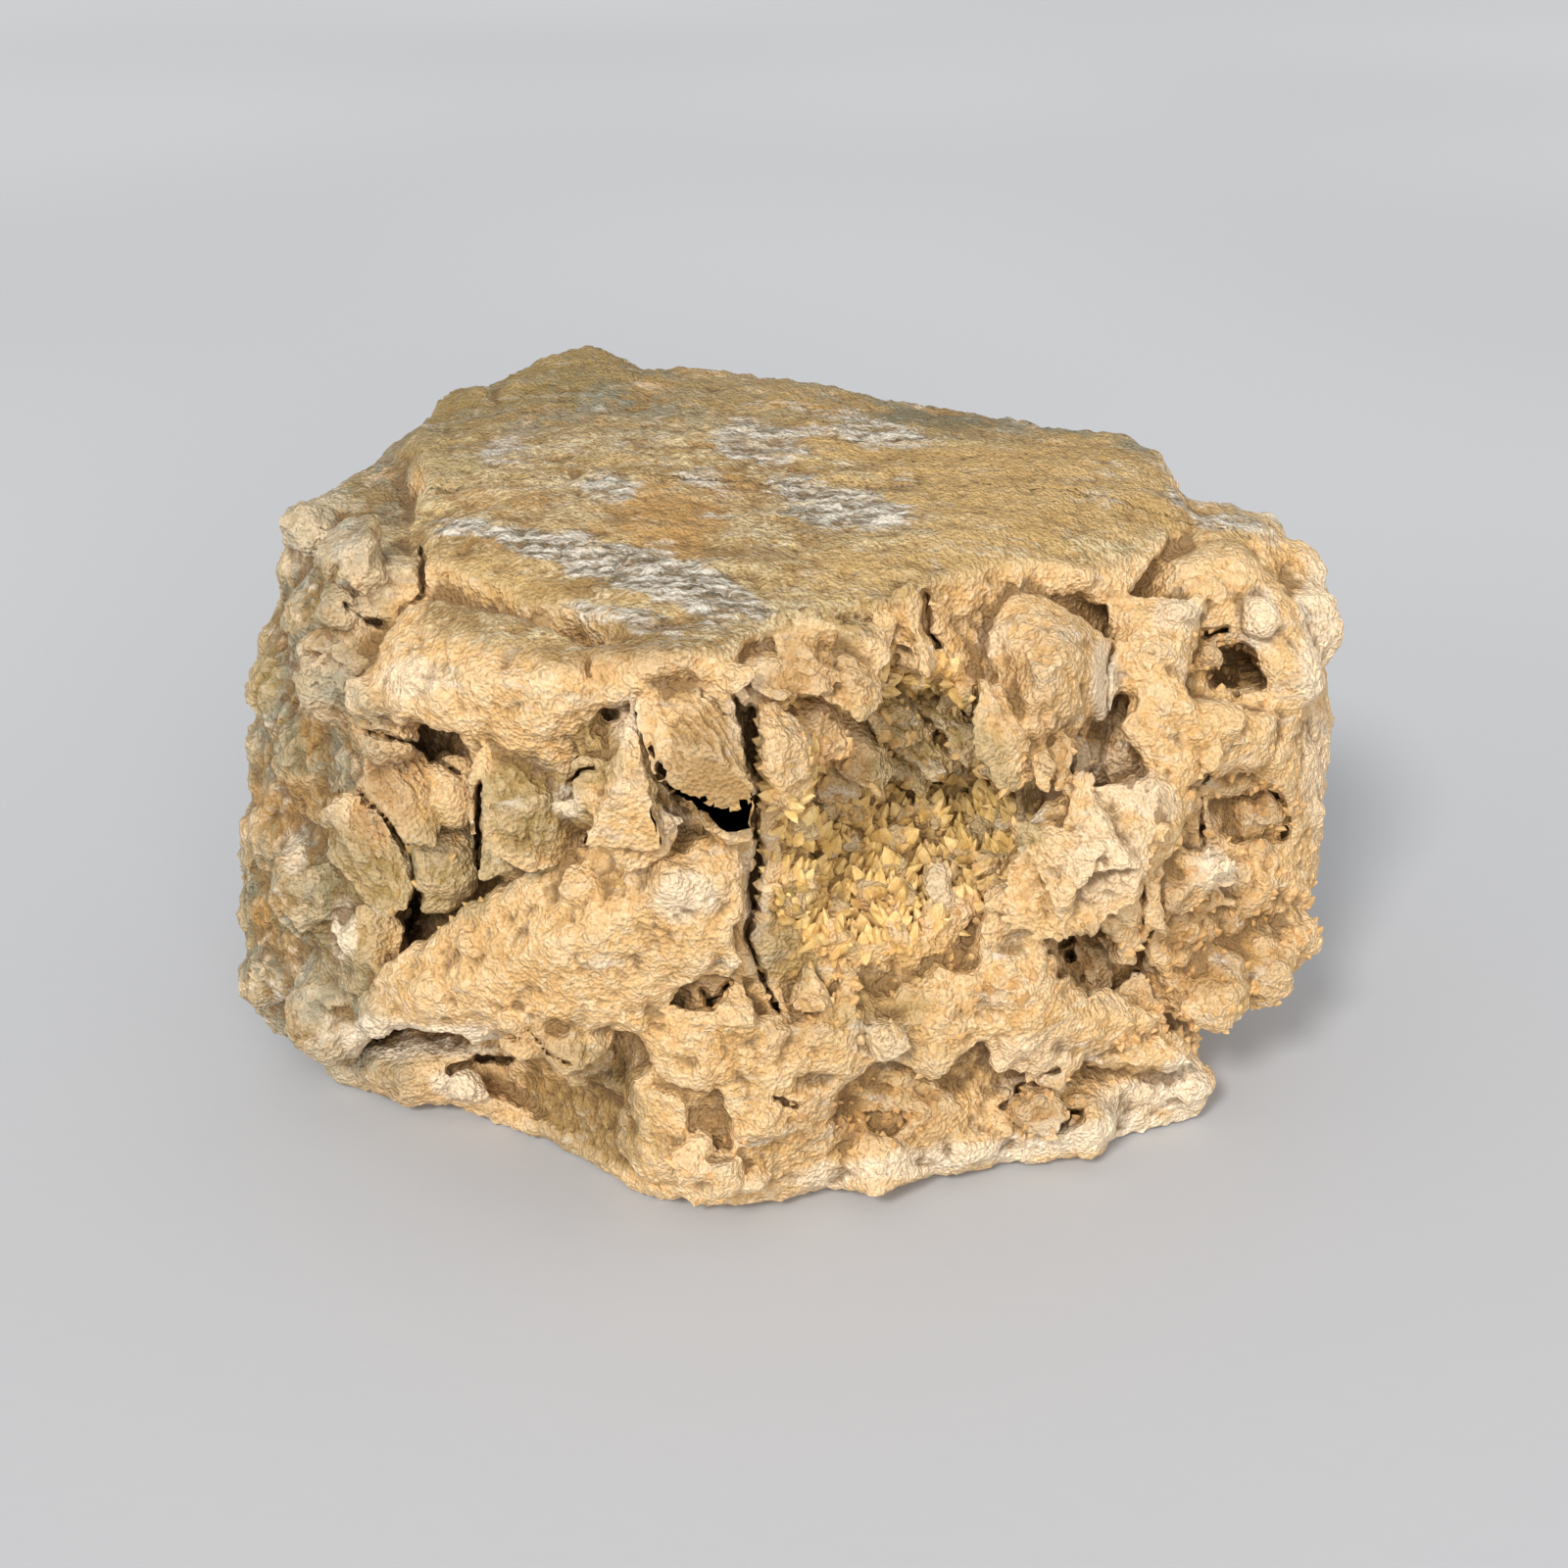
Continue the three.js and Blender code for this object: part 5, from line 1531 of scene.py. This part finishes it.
@dataclass(frozen=True)
class StoneFinish:
    """Broken quartz, cream to ochre, with wall rock, silver, rust, pale, brown and olive where masks say,
    painted shade in crevices and a painted highlight on ridges.
    """

    name: str = "stained_quartz"
    cream: Paint = Paint(236, 192, 133)
    honey: Paint = Paint(222, 175, 110)
    milk: Paint = Paint(245, 218, 174)
    slab: Paint = Paint(208, 176, 118)
    slab_dark: Paint = Paint(158, 124, 72)
    slab_light: Paint = Paint(226, 206, 162)
    silver: Paint = Paint(226, 216, 198)
    silver_dark: Paint = Paint(122, 108, 84)
    rust: Paint = Paint(186, 138, 70)
    ochre: Paint = Paint(200, 162, 98)
    pale: Paint = Paint(250, 232, 204)
    brown: Paint = Paint(168, 126, 74)
    olive: Paint = Paint(148, 124, 68)
    flank_green: Paint = Paint(112, 106, 74)
    flank_grey: Paint = Paint(136, 130, 106)
    flank_yellow: Paint = Paint(150, 122, 75)
    crevice_shade: Paint = Paint(120, 88, 48)
    tan: Paint = Paint(202, 162, 104)
    smoothest: float = 0.46
    roughest: float = 0.76
    bump_depth: float = 0.00045
    specular: float = 0.45

    def top(self, g: Graph, fine: Any, speck: Any) -> Any:
        """The slab's olive and brown grains, drawn out in streaks."""
        wide = g.streaks(6.0, 2.2, -12.0)
        colour = g.blend(g.ranged(wide, 0.44, 0.56), self.slab_dark, self.slab)
        colour = g.blend(g.ranged(g.streaks(11.0, 1.8, -15.0), 0.5, 0.6, 0.0, 0.8), colour, self.slab_light)
        colour = g.blend(g.ranged(g.streaks(2.2, 1.6, -20.0), 0.53, 0.66, 0.0, 0.85), colour, self.slab_light)
        colour = g.blend(g.ranged(speck, 0.7, 0.95, 0.0, 0.6), colour, self.slab_light)
        colour = g.blend(g.ranged(g.streaks(1.3, 1.5, -20.0), 0.36, 0.5, 0.7, 0.0), colour, self.slab_dark)
        return g.blend(g.ranged(fine, 0.38, 0.5, 0.85, 0.0), colour, self.slab_dark)

    def sides(self, g: Graph) -> Any:
        """The weathered sides: grey and yellow with rusty and white blotches."""
        colour = g.blend(g.ranged(g.noise(5.0, 3.0, 0.7), 0.44, 0.56), self.flank_grey, self.flank_yellow)
        colour = g.blend(g.ranged(g.noise(8.0, 4.0, 0.75), 0.53, 0.63, 0.0, 0.75), colour, self.rust)
        colour = g.blend(g.ranged(g.noise(4.0, 3.0, 0.75), 0.57, 0.68, 0.0, 0.5), colour, self.pale)
        return g.blend(g.ranged(g.noise(11.0, 3.0, 0.7), 0.54, 0.64, 0.0, 0.7), colour, self.flank_green)

    def material(self) -> bpy.types.Material:
        """Builds the finish's nodes."""
        g = Graph(self.name)
        fine = g.noise(0.9, 3.0, 0.75)
        speck = g.speckle(0.7)
        dust = g.speckle(0.34)
        colour = g.blend(g.ranged(g.noise(7.0, 4.0, 0.7), 0.42, 0.6), self.cream, self.honey)
        colour = g.blend(g.ranged(g.noise(3.0, 3.0, 0.7), 0.55, 0.68, 0.0, 0.6), colour, self.milk)
        colour = g.blend(g.ranged(speck, 0.7, 0.95, 0.0, 0.45), colour, self.milk)
        colour = g.blend(g.ranged(speck, 0.05, 0.35, 0.55, 0.0), colour, self.tan)
        colour = g.blend(g.mask(Look.SLAB), colour, self.top(g, fine, speck))
        colour = g.blend(g.mask(Look.FLANK), colour, self.sides(g))
        shared = g.ranged(fine, 0.3, 0.6, 0.5, 1.0)
        for look, paint in (
            (Look.OCHRE, self.ochre),
            (Look.OLIVE, self.olive),
            (Look.BROWN, self.brown),
            (Look.RUST, self.rust),
            (Look.PALE, self.pale),
        ):
            colour = g.blend(g.product(g.mask(look), shared), colour, paint)
        flakes = g.blend(g.ranged(g.streaks(1.0, 4.0, -20.0), 0.4, 0.58), self.silver_dark, self.silver)
        edge = g.ranged(g.sum(g.mask(Look.SILVER), g.streaks(3.0, 2.6, -20.0), 2.6), 1.45, 2.05)
        colour = g.blend(edge, colour, flakes)
        colour = g.blend(g.product(g.mask(Look.HOLLOW), 0.35), colour, self.brown)
        colour = g.blend(g.ranged(dust, 0.0, 0.3, 0.42, 0.0), colour, self.brown)
        relief = g.mask(Look.RELIEF)
        # Painted shade: the colour turns dark brown where the relief sinks into crevices.
        colour = g.blend(g.ranged(relief, -0.04, -0.6, 0.0, 0.75), colour, self.crevice_shade)
        # Painted highlight: the colour turns milky where the relief stands out on ridges, less on the slab.
        ridge_highlight = g.ranged(relief, 0.1, 0.7, 0.0, 0.3)
        off_slab = g.ranged(g.mask(Look.SLAB), 0.0, 1.0, 1.0, 0.2)
        colour = g.blend(g.product(ridge_highlight, off_slab), colour, self.milk)
        bump = g.sum(g.noise(0.5, 3.0, 0.85), g.grains(0.5), 1.0)
        gloss = g.ranged(fine, 0.3, 0.7, self.smoothest, self.roughest)
        return g.finish(colour, gloss, bump, self.bump_depth, Specular_IOR_Level=self.specular)


@dataclass(frozen=True)
class CrystalFinish:
    """Small quartz crystals with a thin stain, each with a tint of its own, and painted shade in the crevices
    of the lining.
    """

    name: str = "stained_crystals"
    body: Paint = Paint(232, 196, 124)
    clear: Paint = Paint(244, 214, 152)
    olive: Paint = Paint(222, 190, 116)
    brown: Paint = Paint(200, 160, 100)
    ochre: Paint = Paint(220, 182, 112)
    milk: Paint = Paint(248, 230, 198)
    stain_and_crevice_shade: Paint = Paint(150, 118, 64)
    grain_shade: Paint = Paint(206, 176, 126)
    smoothest: float = 0.4
    roughest: float = 0.62
    bump_depth: float = 0.00016
    specular: float = 0.5

    def material(self) -> bpy.types.Material:
        """Builds the finish's nodes."""
        g = Graph(self.name)
        fine = g.noise(0.9, 4.0, 0.7)
        tint = g.mask(Look.TINT)
        colour = g.blend(tint, self.body, self.clear)
        for look, paint, most in (
            (Look.OCHRE, self.ochre, 0.7),
            (Look.OLIVE, self.olive, 0.75),
            (Look.BROWN, self.brown, 0.8),
            (Look.PALE, self.milk, 0.9),
        ):
            share = g.product(g.mask(look), g.ranged(tint, 0.0, 1.0, most, most * 0.5))
            colour = g.blend(share, colour, paint)
        colour = g.blend(g.product(g.mask(Look.HOLLOW), 0.1), colour, self.stain_and_crevice_shade)
        relief = g.mask(Look.RELIEF)
        # Painted shade: darker where the lining's relief sinks into crevices.
        colour = g.blend(g.ranged(relief, 0.0, -0.7, 0.0, 0.5), colour, self.stain_and_crevice_shade)
        colour = g.blend(g.ranged(fine, 0.4, 0.62, 0.4, 0.0), colour, self.grain_shade, "MULTIPLY")
        gloss = g.ranged(fine, 0.3, 0.7, self.smoothest, self.roughest)
        bump = g.noise(0.5, 3.0, 0.75)
        return g.finish(colour, gloss, bump, self.bump_depth, Specular_IOR_Level=self.specular)


def dressed(
    surface: Surface, masks: dict[Look, Array], finish: bpy.types.Material, name: str, flat: Array
) -> bpy.types.Object:
    """Writes a finished surface into the scene.

    Args:
        surface: The surface, in millimetres about the view's axis.
        masks: The masks at its points.
        finish: Its material.
        name: The piece's name.
        flat: Which faces are flat.

    Returns:
        The piece.
    """
    mesh = mesh_of(Surface(surface.points + VIEW_AXIS, surface.faces), name)
    write_masks(mesh, masks)
    mesh.polygons.foreach_set("use_smooth", ~flat)
    mesh.materials.append(finish)
    return linked(mesh, name)


def covered_smooth(surface: Surface, setting: Setting) -> Array:
    """The share of smooth, glassy surface at each point."""
    seen = sight(surface.points)
    return covered(SMOOTH_SPOTS, seen, setting.shell.behind(seen), np.zeros(len(surface.points)))


@dataclass
class Stone:
    """The block, sculpted from its solid.

    The drops lower each kind of ground so that its relief stays inside the solid's box.
    """

    solid: Surface
    box: tuple[Array, Array]
    step: float = 0.4
    triangles: int = 262_000
    parting: float = 8.0
    edge_rounds: int = 2
    crust_fillet: float = 2.4
    weathered_from: float = -40.0
    weathered_to: float = -50.0
    weathered_rounds: int = 14
    sugar_waves: Waves = Waves(0.26, 8.0, 81, 3, 0.55)
    sugar_grains: tuple[Grains, ...] = (Grains(0.17, 3.6, 13), Grains(0.34, 1.3, 17))
    sugar_drop: float = 0.45
    druse_blocks: Grains = Grains(0.34, 3.0, 23, 0.6, 0.4)
    druse_points: Grains = Grains(0.3, 1.5, 27, 0.6, 0.5)
    druse_drop: float = 0.5
    slab_folds: Waves = Waves(0.38, 4.5, 91, 4, 0.62)
    slab_grains: Grains = Grains(0.36, 1.5, 95, 0.8, 0.3)
    slab_drop: float = 0.3
    fold_stretch: float = 0.45
    silver_flakes: Chips = Chips(0.4, 1.5, 97, 0.6, 0.6)
    flank_chips: Chips = Chips(0.13, 6.5, 101, 0.8, 0.3)
    flank_blocks: Grains = Grains(0.15, 3.0, 103, 0.8, 0.3)
    flank_grains: Grains = Grains(0.16, 1.2, 105, 0.8, 0.3)
    flank_drop: float = 0.3
    small_chips: Chips = Chips(0.12, 0.8, 127)

    def shaped(self, crust: Surface) -> tuple[Field, Shell]:
        """The solid's field with its edges rounded, crystals joined on and cracks cut.

        Args:
            crust: The crust of the main hollow, which hides stone behind it.

        Returns:
            The field, and the surface that the view shows.
        """
        block = Field(self.solid, self.step)
        block.blur(self.edge_rounds)
        lining = Field(crust, self.step)
        near = [part.places(part.near(0.6 * self.step)) for part in (block, lining)]
        shell = Shell(np.concatenate(near))
        block.unite(lining, self.crust_fillet)
        weathered = smoothstep(self.weathered_from, self.weathered_to, block.along(0))
        block.soften(weathered, self.weathered_rounds)
        for seed, grown in enumerate(FRONT_CRYSTALS):
            block.join(grown.crystal(shell, 300 + seed))
        block.cut(CRACKS, shell)
        return block, shell

    def roughened(self, base: Surface, setting: Setting) -> Surface:
        """The shaped surface with its fine relief.

        Heights are a sum of reliefs, each shared out by a mask: waves and grains on broken quartz, folds and
        grains on the slab with flakes on its silver, chips and grains on the flanks, small crystals in the
        hollows, and ridges on blades.

        Args:
            base: The shaped surface.
            setting: What places are worked out from.

        Returns:
            The rough surface.
        """
        points = base.points
        wide = base.blurred(base.normals(), 20)
        wide /= np.maximum(lengths(wide), 1e-9)[:, None]
        seen = sight(points)
        behind = setting.shell.behind(seen)
        ragged = ragged_edge(points)
        top = setting.on_slab(points, wide)
        flank = setting.on_flank(points, wide) * (1.0 - top)
        smooth = covered(SMOOTH_SPOTS, seen, behind, ragged)
        druse = covered(DRUSE_SPOTS, seen, behind, ragged) * (1.0 - smooth)
        silver = covered(COLOUR_SPOTS[Look.SILVER], seen, behind, ragged)
        sugar = (1.0 - top) * (1.0 - druse) * (1.0 - smooth)
        warped = points + 0.5 * np.stack([noise(points, 3.0, 61 + k) for k in (0, 5, 10)], axis=-1)
        folds = points * np.array([self.fold_stretch, 1.0, 1.0])
        height = sugar * (self.sugar_waves.heights(points) + 0.12 * ragged - self.sugar_drop)
        height += only_where(sugar, warped, lambda p: sum(grains.heights(p) for grains in self.sugar_grains))
        height += only_where(druse, points, lambda p: self.druse_blocks.heights(p) - self.druse_drop)
        height += only_where(druse, points, self.druse_points.heights)
        height += only_where(top, folds, lambda p: self.slab_folds.heights(p) - self.slab_drop)
        height += only_where(top, points, self.slab_grains.heights)
        height += only_where(top * silver, folds, self.silver_flakes.heights)
        height += only_where(flank, warped, lambda p: self.flank_chips.heights(p) - self.flank_drop)
        height += only_where(flank, warped, self.flank_blocks.heights)
        height += only_where(flank, points, self.flank_grains.heights)
        height += sum(ribs.heights(seen, behind, ragged) for ribs in BLADE_RIBS)
        height += (1.0 - 0.7 * smooth) * self.small_chips.heights(points)
        return base.raised(height)

    def build(self, shaped: Field, setting: Setting, finish: bpy.types.Material) -> list[bpy.types.Object]:
        """Takes the surface of the shaped field, roughens, thins, masks and dresses it.

        The surface is parted into a front and a rear half, because one mesh can't hold as many faces.

        Args:
            shaped: The shaped field.
            setting: What places are worked out from.
            finish: The material.

        Returns:
            The front half and the rear half.
        """
        surface = self.roughened(largest_body(shaped.surface()), setting)
        points = surface.points
        rear = smoothstep(0.0, 20.0, points[:, 1]) * (1.0 - smoothstep(60.0, 66.0, points[:, 2]))
        far = np.maximum(rear, smoothstep(4.0, 1.0, points[:, 2]))
        surface = thinned(surface, self.triangles, 0.1 + 0.9 * far)
        surface = Surface(np.clip(surface.points, *self.box), surface.faces)
        normals = surface.normals()
        wide = surface.blurred(normals, 16)
        masks = setting.masks(surface.points, wide / np.maximum(lengths(wide), 1e-9)[:, None])
        masks[Look.RELIEF] = surface.relief(5, 24)
        depth = surface.points[surface.faces][:, :, 1].mean(axis=1)
        halves = []
        for name, chosen, bulge in (
            ("stone_surface", depth < self.parting, 1.0),
            ("stone_surface_rear", depth >= self.parting, -1.0),
        ):
            part, closing = closed_part(surface, chosen, bulge)
            kept = np.unique(surface.faces[chosen])
            own = {look: np.append(values[kept], 0.0) for look, values in masks.items()}
            sugary = own[Look.SLAB] + covered_smooth(part, setting) < 0.5
            halves.append(dressed(part, own, finish, name, closing | sugary[part.faces].all(axis=1)))
        return halves


@dataclass
class SmallCrystals:
    """The small crystals that stand on the stone's broken front."""

    box: tuple[Array, Array]
    sprouts: tuple[Sprouts, ...] = (
        Sprouts(600, 1.8, 3.2, 0.62, 0.6, 0.2, 0.66, 501, 6, 0.5),
        Sprouts(400, 1.2, 2.0, 0.7, 0.8, 0.3, 0.66, 503, 5, 0.4),
    )

    def build(
        self, stone: bpy.types.Object, setting: Setting, finish: bpy.types.Material
    ) -> bpy.types.Object:
        """Grows crystals where the druse spots are and dresses them.

        Args:
            stone: The front half of the block, which they stand on.
            setting: What places are worked out from.
            finish: The material.

        Returns:
            The piece.
        """
        base = surface_of(stone.data)
        base = Surface(base.points / MM - VIEW_AXIS, base.faces)
        seen = sight(base.points)
        behind = setting.shell.behind(seen)
        ragged = ragged_edge(base.points)
        weight = covered(DRUSE_SPOTS, seen, behind, ragged)
        weight *= 1.0 - covered(SMOOTH_SPOTS, seen, behind, ragged)
        surface, masks = grown_crystals(self.sprouts, base, weight, setting)
        surface = Surface(np.clip(surface.points, *self.box), surface.faces)
        return dressed(surface, masks, finish, "stone_crystals", np.ones(len(surface.faces), dtype=bool))


def grown_crystals(
    sprouts: tuple[Sprouts, ...], base: Surface, weight: Array, setting: Setting
) -> tuple[Surface, dict[Look, Array]]:
    """Several kinds of small crystals in one surface, each crystal with the masks of its own middle.

    Args:
        sprouts: The kinds.
        base: What they grow on.
        weight: How thickly they grow, for each point of the base.
        setting: What places are worked out from.

    Returns:
        The crystals' surface and its masks.
    """
    points, faces, tints, middles = [], [], [], []
    for kind in sprouts:
        grown, owner = kind.grow(base, weight)
        faces.append(grown.faces + sum(len(part) for part in points))
        points.append(grown.points)
        middle = grown.points.reshape(kind.count, -1, 3).mean(axis=1)
        middles.append(middle[owner])
        tints.append(np.random.default_rng(kind.seed + 1).random(kind.count)[owner])
    surface = Surface(np.concatenate(points), np.concatenate(faces))
    middle = np.concatenate(middles)
    masks = setting.masks(middle, np.tile(NEARER, (len(middle), 1)))
    masks[Look.SLAB][:] = 0.0
    masks[Look.TINT] = np.concatenate(tints)
    return surface, masks


@dataclass
class Druse:
    """The crust of the main hollow: a lining just under the stone's skin, set with close crystals.

    Crystals grow where the stone's field shows the lining at its surface.
    """

    solid: Surface
    box: tuple[Array, Array]
    step: float = 0.4
    triangles: int = 80_000
    grains: Grains = Grains(0.2, 1.6, 213)
    drop: float = 0.5
    sprouts: tuple[Sprouts, ...] = (
        Sprouts(1500, 3.4, 4.6, 0.5, 0.55, 0.16, 0.42, 601, 6, 0.7),
        Sprouts(900, 2.6, 3.4, 0.5, 0.7, 0.25, 0.4, 603, 5, 0.5),
    )

    def build(self, setting: Setting, finish: bpy.types.Material) -> bpy.types.Object:
        """Sculpts the lining, grows crystals on the side that faces the hollow, and dresses both.

        Args:
            setting: What places are worked out from.
            finish: The material.

        Returns:
            The piece.
        """
        lining = Field(self.solid, self.step)
        lining.blur(2)
        base = largest_body(lining.surface())
        base = base.raised(self.grains.heights(base.points) - self.drop)
        base = thinned(base, self.triangles, np.full(len(base.points), 0.5))
        covering = setting.field.sampled(setting.field.values, base.points)
        weight = smoothstep(-1.3, -0.7, covering) + 1e-4
        crystals, crystal_masks = grown_crystals(self.sprouts, base, weight, setting)
        normals = base.normals()
        masks = setting.masks(base.points, normals)
        masks[Look.RELIEF] = base.relief(4, 14)
        masks[Look.SLAB][:] = 0.0
        both = Surface(
            np.concatenate([base.points, crystals.points]),
            np.concatenate([base.faces, crystals.faces + len(base.points)]),
        )
        both = Surface(np.clip(both.points, *self.box), both.faces)
        joined = {look: np.concatenate([masks[look], crystal_masks[look]]) for look in masks}
        flat = np.arange(len(both.faces)) >= len(base.faces)
        return dressed(both, joined, finish, "druse_surface", flat)


@dataclass
class Studio:
    """A pale floor, soft light and the camera at the photograph's angle."""

    floor_half: float = 1.2
    key_power: float = 2.3
    front_power: float = 1.5
    sky: float = 0.62

    def floor(self) -> bpy.types.Object:
        """A plain square under the block, in a grid of two values along X and Y."""
        side = np.array([-self.floor_half, self.floor_half])
        x, y = np.meshgrid(side, side)
        points = np.stack([x.ravel(), y.ravel(), np.full(4, -0.0002)], axis=-1)
        made = linked(mesh_of(Surface(points, np.array([[0, 1, 3], [0, 3, 2]])), "floor", unit=1.0), "floor")
        g = Graph("pale_floor")
        colour = g.blend(g.ranged(g.noise(250.0, 0.0), 0.3, 0.7), Paint(182, 182, 183), Paint(187, 187, 188))
        made.data.materials.append(g.finish(colour, 0.75, g.noise(3.0, 0.0), 0.00002))
        return made

    def sun(self, name: str, toward: tuple[float, float, float], power: float, softness: float) -> None:
        """A distant light that shines from a direction.

        Args:
            name: The light's name.
            toward: Direction from the block to the light.
            power: Strength.
            softness: The light's width in degrees.
        """
        light = bpy.data.lights.new(name, "SUN")
        light.energy = power
        light.angle = math.radians(softness)
        made = bpy.data.objects.new(name, light)
        made.rotation_euler = (-Vector(toward)).to_track_quat("-Z", "Y").to_euler()
        bpy.context.scene.collection.objects.link(made)

    def world(self) -> None:
        """Even pale light from all round."""
        world = bpy.data.worlds.new("studio_air")
        world.use_nodes = True
        background = world.node_tree.nodes["Background"]
        background.inputs[0].default_value = (0.95, 0.97, 1.0, 1.0)
        background.inputs[1].default_value = self.sky
        bpy.context.scene.world = world

    def camera(self) -> None:
        """The camera, at the photograph's distance, elevation and angle of view."""
        data = bpy.data.cameras.new("photo_view")
        data.sensor_width = 36.0
        data.lens = data.sensor_width / 2 / math.tan(VIEW_ANGLE / 2)
        data.clip_end = 10.0
        made = bpy.data.objects.new("photo_view", data)
        made.location = Vector((EYE + VIEW_AXIS) * MM)
        made.rotation_euler = (-Vector(NEARER)).to_track_quat("-Z", "Y").to_euler()
        bpy.context.scene.collection.objects.link(made)
        bpy.context.scene.camera = made

    def build(self) -> None:
        """Sets the whole studio up."""
        self.floor()
        self.sun("key", (-0.4, -1.0, 0.85), self.key_power, 12.0)
        self.sun("front", (0.15, -1.0, 0.42), self.front_power, 40.0)
        self.world()
        self.camera()
        bpy.context.scene.view_settings.view_transform = "Standard"


def box_of(node: str) -> tuple[Array, Array]:
    """The corners of a node's box, in millimetres about the view's axis."""
    low, high = (np.array(corner) / MM - VIEW_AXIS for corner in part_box(node))
    return low, high


def main() -> None:
    """Builds the specimen and its studio, and reports each piece."""
    logging.basicConfig(level=logging.INFO, format="%(name)s: %(message)s")
    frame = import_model()
    nodes = frame["nodes"]
    stone = Stone(solid_surface(nodes["quartz_stone"]), box_of("quartz_stone"))
    crust = solid_surface(nodes["crystal_crust"])
    shaped, shell = stone.shaped(crust)
    setting = Setting(shaped, shell, shaped.crowding(4.5))
    stone_finish = StoneFinish().material()
    crystal_finish = CrystalFinish().material()
    point_finish = CrystalFinish(
        name="stained_points",
        body=Paint(212, 170, 112),
        clear=Paint(228, 190, 134),
        olive=Paint(184, 156, 98),
        brown=Paint(188, 148, 92),
    ).material()
    front, rear = stone.build(shaped, setting, stone_finish)
    pieces = (
        (front, "quartz_stone"),
        (rear, "quartz_stone"),
        (SmallCrystals(stone.box).build(front, setting, point_finish), "quartz_stone"),
        (Druse(crust, stone.box).build(setting, crystal_finish), "crystal_crust"),
    )
    for piece, node in pieces:
        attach(piece, "root")
        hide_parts(node)
        LOG.info("%s: %d triangles", piece.name, len(piece.data.polygons))
    Studio().build()


if __name__ == "__main__":
    main()
